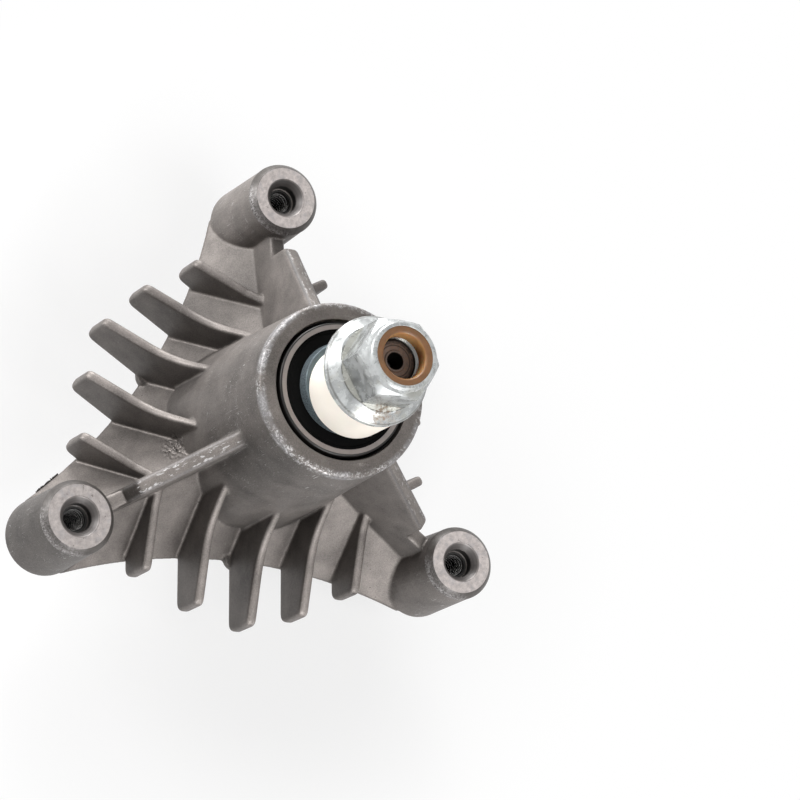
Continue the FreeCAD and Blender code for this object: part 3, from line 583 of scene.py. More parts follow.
    colour = f.over(colour, f.brightened(colour, 0.6), bevel, 0.8)
    polish = f.all_of(rim_edge, f.blots(0.4, 0.58, 9.0, 3.0, 0.6, seed=41.0))
    colour = f.over(colour, (0.24, 0.235, 0.24), polish, 0.75)
    # Painted highlight: concave fillets, such as the fin feet, made lighter.
    crease_highlight = f.rise(f.attribute("crease"), 0.25, 0.6)
    colour = f.over(colour, f.brightened(colour, 1.9), crease_highlight, 0.6)
    # Painted highlight: convex edges made lighter.
    colour = f.over(colour, f.brightened(colour, 1.55), edges, 0.6)
    # Painted shadow: the riser of the left web's step made nearly black, in patches.
    step = f.all_of(web, f.rise(along, WEB_STEP - 1.0, WEB_STEP), f.rise(along, WEB_END + 1.0, WEB_END),
                    f.rise(f.attribute("upward"), 0.8, 0.6),
                    f.rise(f.x, -20.0, -25.0), f.blots(0.3, 0.45, 1.5, 3.0, 0.6, seed=47.0))
    colour = f.over(colour, (0.03, 0.025, 0.022), step, 0.8)
    band = f.all_of(web_top, f.rise(across_size, 1.0, 1.8))
    colour = f.over(colour, (0.08, 0.08, 0.085), band, 0.55)
    colour = f.over(colour, tint.worn, wear, 0.8)
    torn = f.root(*(f.minus(value, middle) for value, middle in zip((f.x, f.y, f.z), ROUGH_PATCH)))
    torn = f.all_of(f.rise(torn, ROUGH_PATCH_REACH, 2.5), f.blots(0.42, 0.34, 0.8, 2.0, 0.6, seed=71.0))
    colour = f.over(colour, (0.03, 0.026, 0.024), torn, 0.75)
    dark_pits = f.all_of(f.rise(f.cells(3.4), 0.09, 0.04), f.rise(lumps, 0.5, 0.56))
    colour = f.over(colour, (0.05, 0.045, 0.04), dark_pits, 0.7)
    # Painted shade: darker in corners and hollows narrower than 14 mm, a little lighter in the open.
    corner_shade = f.scale(f.openness(14.0), 0.2, 0.85, 0.45, 1.08)
    colour = f.brightened(colour, corner_shade)
    # Painted shadow: the bearing seat's bore, seen in the gap round the bearing, made nearly black.
    colour = f.blend(seat, colour, (0.012, 0.011, 0.01))

    rough = f.spread(grain, 0.55, 0.45)
    rough = f.level(wear, rough, 0.34)
    height = f.plus(f.times(grain, 0.6), f.times(fine, 0.25))
    height = f.plus(height, f.times(lumps, 0.9))
    height = f.minus(height, f.times(dark_pits, 0.5))
    height = f.plus(height, f.times(wear, -0.15))
    metal = f.but_not(f.level(wear, 0.35, 0.6), seat)
    return f.give(colour=colour, metal=metal, rough=rough, specular=0.3, normal=f.bump(height, 0.07))


def machined_finish():
    """Face, countersink and hole cut into a boss: mottled, pitted and cracked outside, with painted
    shade in the countersink and near-black painted shadow in the hole.
    """
    f = Finish("machined_aluminium")
    tint = colours()
    boss = f.leg()[2]
    fine = f.noise(0.3, 2.0, 0.6, seed=3.0)
    clouds = f.noise(1.8, 4.0, 0.7, seed=29.0)
    level = f.plus(f.spread(clouds, 0.66, 1.24), f.spread(fine, -0.1, 0.1))
    colour = f.brightened(tint.machined, level)
    # Painted light: boss faces right of x = -20 mm made lighter, the left boss's face left darker.
    colour = f.brightened(colour, f.scale(f.rise(f.x, -40.0, -20.0), 0.0, 1.0, 0.98, 1.3))
    bluish = f.blots(0.5, 0.62, 2.6, 3.0, 0.6, seed=33.0)
    colour = f.over(colour, (0.30, 0.30, 0.32), bluish, 0.3)
    pits = f.all_of(f.rise(f.cells(1.3), 0.2, 0.1), f.blots(0.55, 0.63, 1.2, 1.0, 0.5, seed=23.0))
    lines = f.all_of(f.cracks(5.0, 0.09, f.stretched(1.0, 1.0, 40.0)),
                     f.blots(0.58, 0.66, 3.0, 2.0, 0.6, seed=27.0))
    marks = f.all_of(f.any_of(pits, f.times(lines, 0.7)), f.rise(f.z, -0.1, -0.04))
    colour = f.over(colour, (0.07, 0.06, 0.055), marks, 0.75)
    # Painted shade: the countersink made much darker than the face, and the hole below it nearly black.
    mouth = f.rise(f.z, -0.15, -0.4)
    cut = f.noise(0.35, 2.0, 0.6, place=f.vector(f.z, 0.0, 0.0), seed=5.0)
    colour = f.blend(mouth, colour, f.brightened(tint.machined, f.spread(cut, 0.2, 0.26)))
    deep = f.rise(f.z, -2.1, -2.5)
    colour = f.blend(deep, colour, (0.012, 0.011, 0.01))
    ring = f.all_of(f.rise(boss, HOLE_MOUTH_RADIUS + 0.35, HOLE_MOUTH_RADIUS + 0.1),
                    f.rise(f.z, -0.5, -0.2))
    colour = f.over(colour, (0.1, 0.09, 0.085), ring, 0.75)
    bevel = f.rise(boss, BOSS_FACE_RADIUS - 0.2, BOSS_FACE_RADIUS - 0.06)
    sheltered = f.brightened(tint.casting, f.spread(clouds, 0.36, 0.7))
    low = f.plus(f.low_side_of_boss(), f.times(f.noise(4.0, 2.0, 0.6, seed=39.0), 8.0))
    scuffs = f.all_of(f.blots(0.4, 0.68, 0.6, 5.0, 0.8, distortion=0.6), f.rise(low, 8.0, 12.5),
                      f.scale(f.rise(boss, 10.4, 11.1), 0.0, 1.0, 0.35, 1.0))
    sheltered = f.over(sheltered, (0.5, 0.48, 0.48), scuffs, 0.85)
    colour = f.blend(bevel, colour, sheltered)
    height = f.minus(f.times(f.plus(clouds, fine), 0.3), f.times(marks, 0.8))
    return f.give(colour=colour, metal=f.but_not(0.3, deep), rough=f.level(mouth, 0.42, 0.45),
                  normal=f.bump(height, 0.08))


def tapped_finish():
    """Thread in a boss: bright crests, with painted shade between them."""
    f = Finish("tapped_aluminium")
    boss = f.leg()[2]
    crest = f.rise(boss, HOLE_WALL_RADIUS - 0.16, HOLE_WALL_RADIUS - 0.3)
    bright = f.brightened((0.8, 0.79, 0.78), f.spread(f.noise(0.8), 0.6, 1.1))
    # Painted shade: the valleys between the crests made nearly black.
    colour = f.blend(crest, (0.02, 0.019, 0.018), bright)
    return f.give(colour=colour, metal=f.times(crest, 0.9), rough=0.22,
                  normal=f.bump(f.noise(0.3), 0.02))


def steel_finish(name, colour, rough, grain_size, strength, metal=0.85, turned=True):
    """Plain metal with fine turning marks round the shaft's axis and faint clouds."""
    f = Finish(name)
    clouds = f.noise(3.5, 3.0, 0.6)
    fine = f.noise(grain_size, 3.0, 0.6, seed=2.0)
    if turned:
        marks = f.noise(grain_size, 2.0, 0.7, place=f.vector(f.radius, f.z, 0.0), seed=4.0)
    else:
        marks = fine
    level = f.plus(f.spread(clouds, 1 - strength, 1 + strength),
                   f.spread(fine, -strength / 2, strength / 2))
    return f.give(colour=f.brightened(colour, level), metal=metal,
                  rough=f.spread(clouds, rough - 0.05, rough + 0.08),
                  normal=f.bump(f.plus(marks, fine), 0.02))


def ring_finish():
    """Ground bearing steel, with the bevel round its outer edge in shadow."""
    f = Finish("bearing_ring")
    clouds = f.noise(3.5, 3.0, 0.6)
    marks = f.noise(0.3, 2.0, 0.7, place=f.vector(f.radius, f.z, 0.0), seed=4.0)
    colour = f.brightened(colours().steel, f.spread(clouds, 0.92, 1.08))
    bevel = f.rise(f.radius, BEARING_RADIUS - 0.75, BEARING_RADIUS - 0.6)
    colour = f.blend(bevel, colour, (0.015, 0.014, 0.013))
    return f.give(colour=colour, metal=0.45, rough=f.spread(clouds, 0.3, 0.4),
                  normal=f.bump(marks, 0.02))


def nut_finish():
    """Cloudy, slightly yellow zinc, with painted shade on the hexagon's facets and in thin lines round
    the hexagon and the flange's rim, and a rust stain low down.
    """
    f = Finish("bright_zinc")
    tint = colours()
    clouds = f.noise(4.0, 4.0, 0.6, distortion=0.4)
    fine = f.noise(0.35, 3.0, 0.65, seed=2.0)
    level = f.plus(f.scale(clouds, 0.35, 0.65, 0.68, 1.2), f.spread(fine, -0.05, 0.05))
    colour = f.brightened(tint.zinc, level)
    shelf = f.all_of(f.rise(f.radius, NUT_CORNER_RADIUS + 0.1, NUT_CORNER_RADIUS - 0.1),
                     f.rise(f.z, NUT_SHELF + 0.9, NUT_SHELF + 0.3))
    yellow = f.any_of(f.times(f.blots(0.5, 0.66, 6.0, 3.0, 0.6, seed=9.0), 0.35),
                      f.times(shelf, 0.5))
    colour = f.blend(yellow, colour, (0.38, 0.37, 0.30))
    hexagon = f.all_of(f.rise(f.z, NUT_SHELF + 0.4, NUT_SHELF + 1.0),
                       f.rise(f.z, NUT_HEXAGON_TOP - 0.4, NUT_HEXAGON_TOP - 1.2))
    # Painted shade: the hexagon's facets made darker than the flange, standing in for darker
    # reflections.
    painted_dark_zinc = f.brightened(tint.zinc, f.scale(clouds, 0.35, 0.65, 0.25, 0.85))
    colour = f.over(colour, painted_dark_zinc, hexagon, 0.6)
    # Painted shade: thin dark lines along the half-moon outlines round the hexagon and along the
    # flange's rounded rim.
    outline = f.all_of(f.rise(f.off(f.radius, NUT_CORNER_RADIUS), 0.2, 0.08),
                       f.rise(f.off(f.z, NUT_SHELF), 1.4, 1.0),
                       f.blots(0.42, 0.5, 1.3, 2.0, 0.6, seed=21.0))
    rim_line = f.all_of(f.rise(f.off(f.radius, NUT_FLANGE_RADIUS - 0.35), 0.3, 0.1),
                        f.rise(f.z, NUT_SEAT + 1.2, NUT_SEAT + 1.8))
    marks = f.any_of(f.times(outline, 0.8), f.times(rim_line, 0.6))
    colour = f.blend(marks, colour, (0.09, 0.085, 0.075))
    low_side = f.all_of(f.rise(f.y, -9.6, -11.2), f.rise(f.z, NUT_SHELF + 1.5, NUT_SHELF + 0.5),
                        f.rise(f.z, 68.5, 69.8),
                        f.rise(f.x, -3.0, -0.5), f.rise(f.x, 7.0, 4.5))
    stain = f.all_of(low_side, f.blots(0.42, 0.62, 1.1, 4.0, 0.7, seed=13.0))
    colour = f.over(colour, tint.rust, stain, 0.7)
    scratches = f.rise(f.noise(0.5, 2.0, 0.6, place=f.stretched(1.0, 4.0, 0.5), seed=17.0), 0.66, 0.72)
    colour = f.over(colour, (0.8, 0.81, 0.82), scratches, 0.2)
    rough = f.level(stain, f.spread(clouds, 0.2, 0.34), 0.75)
    height = f.plus(f.times(clouds, 1.5), f.times(fine, 0.3))
    height = f.minus(height, outline)
    return f.give(colour=colour, metal=f.level(stain, f.level(hexagon, 0.4, 0.6), 0.1), rough=rough,
                  normal=f.bump(height, 0.06))


def washer_finish():
    """Bluish zinc, rough and dark on the sheared rim."""
    f = Finish("blue_zinc")
    tint = colours()
    clouds = f.noise(3.0, 4.0, 0.6)
    rim = f.rise(f.radius, WASHER_RIM_RADIUS, WASHER_RIM_RADIUS + 0.4)
    shear = f.noise(0.5, 3.0, 0.75, place=f.vector(f.times(f.angle, 14.0), 0.0, f.times(f.z, 0.7)),
                    seed=3.0)
    colour = f.brightened(tint.blue_zinc, f.spread(clouds, 0.85, 1.15))
    colour = f.blend(f.all_of(rim, f.rise(shear, 0.45, 0.6)), colour, (0.05, 0.055, 0.065))
    height = f.level(rim, f.times(clouds, 0.3), f.times(shear, 1.6))
    return f.give(colour=colour, metal=0.45, rough=f.level(rim, 0.3, 0.5), normal=f.bump(height, 0.15))


def plastic_finish():
    """Moulded cream plastic with faint clouds and dust."""
    f = Finish("cream_plastic")
    clouds = f.noise(9.0, 3.0, 0.5)
    fine = f.noise(0.4, 2.0, 0.6, seed=2.0)
    colour = f.brightened(colours().sleeve, f.spread(clouds, 0.965, 1.03))
    dust = f.all_of(f.rise(f.cells(2.6), 0.06, 0.03), f.rise(clouds, 0.5, 0.6))
    colour = f.over(colour, (0.45, 0.38, 0.3), dust, 0.5)
    return f.give(colour=colour, rough=f.spread(fine, 0.4, 0.5), through=0.06, through_scale=2.0 * MM,
                  normal=f.bump(f.plus(clouds, f.times(fine, 0.1)), 0.05))


def nylon_finish():
    """Amber nylon with dirt specks, and painted light making it lighter where it is thin."""
    f = Finish("amber_nylon")
    clouds = f.noise(3.0, 3.0, 0.6)
    specks = f.all_of(f.rise(f.cells(1.5), 0.1, 0.05),
                      f.blots(0.55, 0.62, 2.5, 2.0, 0.5, seed=5.0))
    colour = f.brightened(colours().nylon, f.spread(clouds, 0.85, 1.15))
    # Painted light: the thin lip round the bore made lighter orange, as light shows through it.
    inner = f.rise(f.radius, NYLON_BORE_RADIUS + 0.6, NYLON_BORE_RADIUS)
    colour = f.over(colour, (0.62, 0.34, 0.13), inner, 0.5)
    colour = f.over(colour, (0.06, 0.03, 0.02), specks, 0.8)
    return f.give(colour=colour, rough=f.spread(clouds, 0.36, 0.5), through=0.25, through_scale=1.2 * MM,
                  normal=f.bump(clouds, 0.06))


def seal_finish():
    """Black rubber with dust specks."""
    f = Finish("bearing_seal")
    fine = f.noise(0.3, 2.0, 0.6)
    dust = f.all_of(f.rise(f.cells(2.2), 0.05, 0.02),
                    f.blots(0.5, 0.58, 3.0, 2.0, 0.5, seed=5.0))
    colour = f.over(f.brightened(colours().seal, f.spread(fine, 0.7, 1.4)), (0.3, 0.3, 0.3), dust, 0.6)
    return f.give(colour=colour, rough=f.spread(fine, 0.6, 0.75), specular=0.04,
                  normal=f.bump(fine, 0.02))


def shaft_finish():
    """Dark oiled steel, brown on the end, bright on the drive seat and the star, with painted shadow in
    the centre hole.
    """
    f = Finish("dark_steel")
    tint = colours()
    clouds = f.noise(1.6, 4.0, 0.7)
    fine = f.noise(0.25, 3.0, 0.65, seed=2.0)
    end = f.rise(f.z, SHAFT_TOP - 2.0, SHAFT_TOP - 1.0)
    level = f.plus(f.spread(clouds, 0.7, 1.3), f.spread(fine, -0.15, 0.15))
    colour = f.brightened(tint.shaft, level)
    ground = f.brightened((0.36, 0.34, 0.33), f.spread(clouds, 0.85, 1.1))
    colour = f.blend(end, ground, colour)
    rust = f.all_of(end, f.rise(f.radius, 2.7, 3.2),
                    f.blots(0.48, 0.56, 0.6, 3.0, 0.75, seed=6.0))
    colour = f.over(colour, (0.24, 0.15, 0.1), rust, 0.7)
    worn_ring = f.all_of(end, f.rise(f.off(f.radius, SHAFT_WORN_RADIUS), 0.25, 0.1))
    dirt = f.all_of(end, f.rise(f.radius, 4.8, 5.4), f.rise(clouds, 0.35, 0.55))
    colour = f.over(colour, (0.02, 0.017, 0.015), f.any_of(worn_ring, dirt), 0.75)
    # Painted shadow: the centre hole made nearly black and without shine.
    hole = f.all_of(f.rise(f.z, SHAFT_TOP - 6.0, SHAFT_TOP - 5.0),
                    f.rise(f.radius, SHAFT_HOLE_RADIUS + 0.4, SHAFT_HOLE_RADIUS))
    colour = f.blend(hole, colour, (0.004, 0.0035, 0.003))
    marks = f.noise(0.3, 2.0, 0.7, place=f.vector(f.radius, f.z, 0.0), seed=4.0)
    height = f.plus(f.times(marks, 0.5), f.level(end, f.times(fine, 0.2), clouds))
    return f.give(colour=colour, metal=f.but_not(f.level(end, 0.8, 0.45), hole),
                  rough=f.any_of(f.level(end, 0.36, 0.5), hole), specular=f.level(hole, 0.5, 0.02),
                  normal=f.bump(height, 0.05))


def merged_copy(node, name):
    """A copy of a solid's mesh with its loose triangles joined."""
    piece = own_copy(NODES[node], name)
    pick(piece)
    bpy.ops.mesh.customdata_custom_splitnormals_clear()
    edit()
    bpy.ops.mesh.select_all(action="SELECT")
    bpy.ops.mesh.remove_doubles(threshold=0.002 * MM)
    bpy.ops.mesh.normals_make_consistent(inside=False)
    leave_edit()
    return piece


def points_of(piece):
    places = np.empty(len(piece.data.vertices) * 3, np.float32)
    piece.data.vertices.foreach_get("co", places)
    return places.reshape(-1, 3) / MM


def leg_places(points):
    """Each point's place along and across its own leg, in millimetres."""
    radius = np.hypot(points[:, 0], points[:, 1])
    turn = np.arctan2(points[:, 1], points[:, 0]) - math.pi / 2
    turn = (turn + math.pi / 3) % (2 * math.pi / 3) - math.pi / 3
    return radius, radius * np.cos(turn), radius * np.sin(turn)


def as_cast_share(points):
    """1 where the surface stays as cast, 0 where it is machined."""
    radius, along, across = leg_places(points)
    boss = np.hypot(along - LEG_RADIUS, across)
    height = points[:, 2]
    machined = (boss < BOSS_FACE_RADIUS + 0.5) & (height > -30.0) & ((height > -1.2) | (boss < 7.0))
    machined |= radius < SEAT_RADIUS
    return np.where(machined, 0.0, 1.0)


def mark_upward(piece):
    """Stores how far each point's surface faces up."""
    upward = np.array([vertex.normal.z for vertex in piece.data.vertices], np.float32)
    piece.data.attributes.new("upward", "FLOAT", "POINT").data.foreach_set("value", upward)


def mark_edges(piece):
    """Each point's place in millimetres, and how far it stands out from its neighbours' middle."""
    mesh = piece.data
    count = len(mesh.vertices)
    pairs = np.empty(len(mesh.edges) * 2, np.int32)
    mesh.edges.foreach_get("vertices", pairs)
    pairs = pairs.reshape(-1, 2)
    normals = np.empty(count * 3, np.float32)
    mesh.vertices.foreach_get("normal", normals)
    normals = normals.reshape(-1, 3)
    points = points_of(piece)
    degree = np.bincount(pairs.ravel(), minlength=count)
    middle = np.zeros_like(points)
    for axis in range(3):
        middle[:, axis] = (np.bincount(pairs[:, 0], points[pairs[:, 1], axis], count)
                           + np.bincount(pairs[:, 1], points[pairs[:, 0], axis], count))
    middle /= np.maximum(degree, 1)[:, None]
    bulge = np.einsum("ij,ij->i", points - middle, normals)
    for _ in range(2):
        around = (np.bincount(pairs[:, 0], bulge[pairs[:, 1]], count)
                  + np.bincount(pairs[:, 1], bulge[pairs[:, 0]], count))
        bulge = 0.5 * bulge + 0.5 * around / np.maximum(degree, 1)
    return points, bulge


class SPINDLE_OT_casting(bpy.types.Operator):
    """Rebuild the housing as a casting with rounded edges and uneven faces"""

    bl_idname = "spindle.casting"
    bl_label = "Casting"

    def execute(self, context):
        piece = merged_copy("housing", "housing_casting")
        rebuilt = piece.modifiers.new("rebuilt", "REMESH")
        rebuilt.mode = "VOXEL"
        rebuilt.voxel_size = sizes().grain_size
        apply_all_modifiers(piece)
        cast = piece.vertex_groups.new(name="as_cast")
        share = as_cast_share(points_of(piece))
        cast.add(np.flatnonzero(share > 0.5).tolist(), 1.0, "REPLACE")
        cast.add(np.flatnonzero(share <= 0.5).tolist(), 0.12, "REPLACE")
        soften = piece.modifiers.new("soften", "SMOOTH")
        soften.factor = 0.5
        soften.iterations = sizes().edge_rounds
        soften.vertex_group = "as_cast"
        apply_all_modifiers(piece)
        self.sink_machined(piece)
        self.roughen_patch(piece)
        places, bulge = mark_edges(piece)
        thin = piece.modifiers.new("thin", "DECIMATE")
        thin.ratio = min(1.0, sizes().casting_faces / (2 * len(piece.data.polygons)))
        thin.use_collapse_triangulate = True
        apply_all_modifiers(piece)
        self.keep_edges(piece, places, bulge)
        piece.vertex_groups.clear()
        pick(piece)
        bpy.ops.object.shade_smooth_by_angle(angle=math.radians(38.0))
        settle(piece, cast_aluminium_finish())
        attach(piece, "housing")
        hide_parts("housing")
        return {"FINISHED"}

    def sink_machined(self, piece):
        """Lets the boss faces and holes back a little behind the clean pieces that show them."""
        points = points_of(piece)
        radius, along, across = leg_places(points)
        boss = np.hypot(along - LEG_RADIUS, across)
        faces = (boss < BOSS_BEVEL_RADIUS + 0.3) & (points[:, 2] > BOSS_BEVEL_FOOT)
        holes = (boss < HOLE_MOUTH_RADIUS + 0.5) & (points[:, 2] > -30.0)
        away = points[:, :2].copy()
        for angle in LEG_ANGLES:
            turn = math.radians(angle)
            centre = np.array((math.cos(turn), math.sin(turn))) * LEG_RADIUS
            offset = points[:, :2] - centre
            size = np.hypot(offset[:, 0], offset[:, 1])
            near = holes & (size < HOLE_MOUTH_RADIUS + 1.0)
            away[near] += offset[near] / np.maximum(size[near], 0.01)[:, None] * HOLE_SET_BACK
        seat = (radius < SEAT_RADIUS + 0.4) & (points[:, 2] > 40.0)
        away[seat] *= 1.0 + SEAT_SET_BACK / np.maximum(radius[seat], 0.01)[:, None]
        points[:, :2] = away
        points[faces, 2] -= FACE_SET_BACK
        piece.data.vertices.foreach_set("co", (points * MM).astype(np.float32).ravel())
        piece.data.update()

    def roughen_patch(self, piece):
        """Raises the small torn patch where the skirt meets the hub's foot."""
        points = points_of(piece)
        away = np.linalg.norm(points - np.array(ROUGH_PATCH), axis=1)
        for index in np.flatnonzero(away < ROUGH_PATCH_REACH).tolist():
            vertex = piece.data.vertices[index]
            place = Vector(points[index].tolist())
            share = 1.0 - (away[index] / ROUGH_PATCH_REACH) ** 2
            lift = noise.noise(place / 0.9) + 0.6 * noise.noise(place / 0.45)
            vertex.co += vertex.normal * (0.42 * MM * share * lift)
        piece.data.update()

    def keep_edges(self, piece, places, bulge):
        """Gives each point left the edge mark of the nearest point before thinning."""
        tree = kdtree.KDTree(len(places))
        for index, place in enumerate(places):
            tree.insert(place, index)
        tree.balance()
        mark_upward(piece)
        mark = piece.data.attributes.new("edge", "FLOAT", "POINT")
        scale = sizes().grain_size / MM * 0.12
        values = np.array([bulge[tree.find(place)[1]] for place in points_of(piece)]) / scale
        mark.data.foreach_set("value", np.clip(values, 0.0, 1.0).astype(np.float32))
        crease = piece.data.attributes.new("crease", "FLOAT", "POINT")
        crease.data.foreach_set("value", np.clip(-values, 0.0, 1.0).astype(np.float32))


def thread_ridge(name, wall, depth, pitch, low, high, centre=(0.0, 0.0)):
    """A ridge that winds up the inside of a hole, from low to high, all in metres."""
    half, crest, width = pitch * 0.49, pitch * 0.07, depth + 0.06 * MM
    inner = wall - depth
    deselect_all()
    middle = (inner + width / 2, 0.0, low)
    bpy.ops.mesh.primitive_plane_add(size=2 * half, location=middle, rotation=(math.pi / 2, 0.0, 0.0))
    piece = new_piece(name)
    edit()
    bpy.ops.transform.resize(value=(width / (2 * half), 1.0, 1.0), center_override=middle)
    select_points(piece, lambda place: place.x < middle[0])
    bpy.ops.transform.resize(value=(1.0, 1.0, crest / half), center_override=(inner, 0.0, low))
    bpy.ops.mesh.select_all(action="SELECT")
    bpy.ops.mesh.delete(type="ONLY_FACE")
    leave_edit()
    wind = piece.modifiers.new("wind", "SCREW")
    wind.axis = "Z"
    wind.angle = 2 * math.pi
    wind.screw_offset = pitch
    wind.iterations = max(1, round((high - low) / pitch))
    wind.steps = wind.render_steps = 40
    wind.use_merge_vertices = False
    apply_all_modifiers(piece)
    edit()
    bpy.ops.mesh.select_mode(type="EDGE")
    bpy.ops.mesh.select_all(action="DESELECT")
    bpy.ops.mesh.select_non_manifold(extend=False)
    bpy.ops.mesh.edge_face_add()
    bpy.ops.mesh.select_all(action="SELECT")
    bpy.ops.mesh.normals_make_consistent(inside=False)
    bpy.ops.transform.translate(value=(centre[0], centre[1], 0.0))
    leave_edit()
    bpy.ops.object.shade_smooth_by_angle(angle=math.radians(25.0))
    return piece


def turned_piece(name, profile, centre, steps=96):
    """A surface turned about a line through the centre, from radii and heights in millimetres."""
    radius, height = profile[0]
    deselect_all()
    bpy.ops.mesh.primitive_circle_add(vertices=steps, radius=radius * MM,
                                      location=(*centre, height * MM))
    piece = new_piece(name)
    edit()
    bpy.ops.mesh.select_mode(type="EDGE")
    bpy.ops.mesh.select_all(action="SELECT")
    for next_radius, next_height in profile[1:]:
        lift = (0.0, 0.0, (next_height - height) * MM)
        bpy.ops.mesh.extrude_edges_move(TRANSFORM_OT_translate={"value": lift})
        share = next_radius / radius
        middle = (*centre, next_height * MM)
        bpy.ops.transform.resize(value=(share, share, 1.0), center_override=middle)
        radius, height = next_radius, next_height
    bpy.ops.mesh.select_all(action="SELECT")
    bpy.ops.mesh.normals_make_consistent(inside=False)
    leave_edit()
    if piece.data.polygons[0].normal.z < 0.0:
        piece.data.flip_normals()
    bpy.ops.object.shade_smooth_by_angle(angle=math.radians(25.0))
    return piece


def on_all_legs(first, name, material):
    """Settles the piece on the first leg and its copies on the other two."""
    pieces = [first] + [own_copy(first, f"{name}_{angle:.0f}") for angle in LEG_ANGLES[1:]]
    for piece, angle in zip(pieces, LEG_ANGLES):
        piece.rotation_euler.z = math.radians(angle - LEG_ANGLES[0])
        settle(piece, material)
        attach(piece, "housing")


class SPINDLE_OT_boss_holes(bpy.types.Operator):
    """Turn the machined face, countersink and hole of each boss, and the mouth of the hub"""

    bl_idname = "spindle.boss_holes"
    bl_label = "Boss holes"

    def execute(self, context):
        hole = turned_piece("boss_hole_90", BOSS_PROFILE, (0.0, LEG_RADIUS * MM))
        on_all_legs(hole, "boss_hole", machined_finish())
        piece = turned_piece("hub_mouth", HUB_MOUTH_PROFILE, (0.0, 0.0), 144)
        mark_upward(piece)
        settle(piece, bpy.data.objects["housing_casting"].data.materials[0])
        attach(piece, "housing")
        return {"FINISHED"}


class SPINDLE_OT_flash(bpy.types.Operator):
    """Add the ragged flash that stands out from the skirt's lip beside one boss"""

    bl_idname = "spindle.flash"
    bl_label = "Flash"

    def execute(self, context):
        first, last = (Vector(end) * MM for end in FLASH_ENDS)
        length = (last - first).length
        deselect_all()
        bpy.ops.mesh.primitive_grid_add(x_subdivisions=30, y_subdivisions=2, size=length)
        piece = new_piece("skirt_flash")
        edit()
        bpy.ops.transform.resize(value=(1.0, 0.4 * MM / length, 1.0), center_override=(0.0, 0.0, 0.0))
        select_points(piece, lambda place: place.y > 0.15 * MM and abs(place.x) < 0.47 * length)
        bpy.ops.transform.vertex_random(offset=0.17 * MM, seed=5)
        bpy.ops.mesh.select_all(action="SELECT")
        bpy.ops.transform.resize(value=(1.0, 1.8, 0.5), center_override=(0.0, -0.2 * MM, 0.0))
        leave_edit()
        along = last - first
        piece.rotation_euler.z = math.atan2(along.y, along.x)
        piece.location = (first + last) / 2
        thick = piece.modifiers.new("thick", "SOLIDIFY")
        thick.thickness = 0.3 * MM
        thick.offset = 0.0
        apply_all_modifiers(piece)
        settle(piece, steel_finish("flash", (0.022, 0.019, 0.017), 0.6, 0.4, 0.2, metal=0.1))
        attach(piece, "housing")
        return {"FINISHED"}


class SPINDLE_OT_threads(bpy.types.Operator):
    """Wind the threads that can be seen in the boss holes, the nut and the blade hole"""

    bl_idname = "spindle.threads"
    bl_label = "Threads"

    def execute(self, context):
        size = sizes()
        tapped = tapped_finish()
        thread = thread_ridge("boss_thread_90", HOLE_WALL_RADIUS * MM, size.hole_thread_depth,
                              size.hole_pitch, HOLE_THREAD_FOOT * MM, (HOLE_THREAD_TOP - 0.8) * MM,
                              (0.0, LEG_RADIUS * MM))
        on_all_legs(thread, "boss_thread", tapped)
        # Painted shade: the nut's thread is given a zinc far darker than the nut's, for the shade inside
        # its bore.
        bright = steel_finish("nut_thread_shaded_zinc", (0.2, 0.2, 0.19), 0.25, 0.4, 0.12)
        piece = thread_ridge("nut_thread", NUT_BORE_RADIUS * MM, size.nut_thread_depth, size.nut_pitch,
                             (NUT_THREAD_TOP - 3.6) * MM, (NUT_THREAD_TOP - 0.7) * MM)
        settle(piece, bright)
        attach(piece, "spindle")
        dark = steel_finish("blade_thread_steel", (0.3, 0.28, 0.27), 0.35, 0.4, 0.12)
        piece = thread_ridge("blade_thread", BLADE_HOLE_RADIUS * MM, size.blade_thread_depth,
                             size.blade_pitch, (BLADE_HOLE_FOOT + 1.2) * MM,
                             (BLADE_HOLE_FOOT + 24.0) * MM)
        settle(piece, dark)
        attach(piece, "spindle")
        return {"FINISHED"}


class SPINDLE_OT_finishes(bpy.types.Operator):
    """Give every solid that is shown as it is its finish"""

    bl_idname = "spindle.finishes"
    bl_label = "Finishes of the solids"

    def execute(self, context):
        finishes = {
            "flange_lock_nut": nut_finish(),
            "thrust_washer": washer_finish(),
            "plastic_sleeve": plastic_finish(),
            "nylon_lock_ring": nylon_finish(),
            "spindle_shaft": shaft_finish(),
            "spacer_tube": steel_finish("bright_steel", (0.5, 0.5, 0.51), 0.3, 0.5, 0.08),
        }
        ring = ring_finish()
        cage = steel_finish("bearing_cage", (0.55, 0.54, 0.52), 0.32, 0.4, 0.08)
        seal = seal_finish()
        bearing = {
            "outer_ring": ring,
            "inner_ring": ring,
            "balls": steel_finish("bearing_ball", (0.72, 0.72, 0.73), 0.12, 0.6, 0.03, turned=False),
            "cage_upper_half": cage,
            "cage_lower_half": cage,
            "cage_rivets": cage,
            "upper_seal": seal,
            "lower_seal": seal,
        }
        for name, node in NODES.items():
            if name == "housing":
                continue
            material = finishes.get(name) or bearing[name.split("bearing_")[1]]
            for slot in node.material_slots:
                slot.material = material
        return {"FINISHED"}


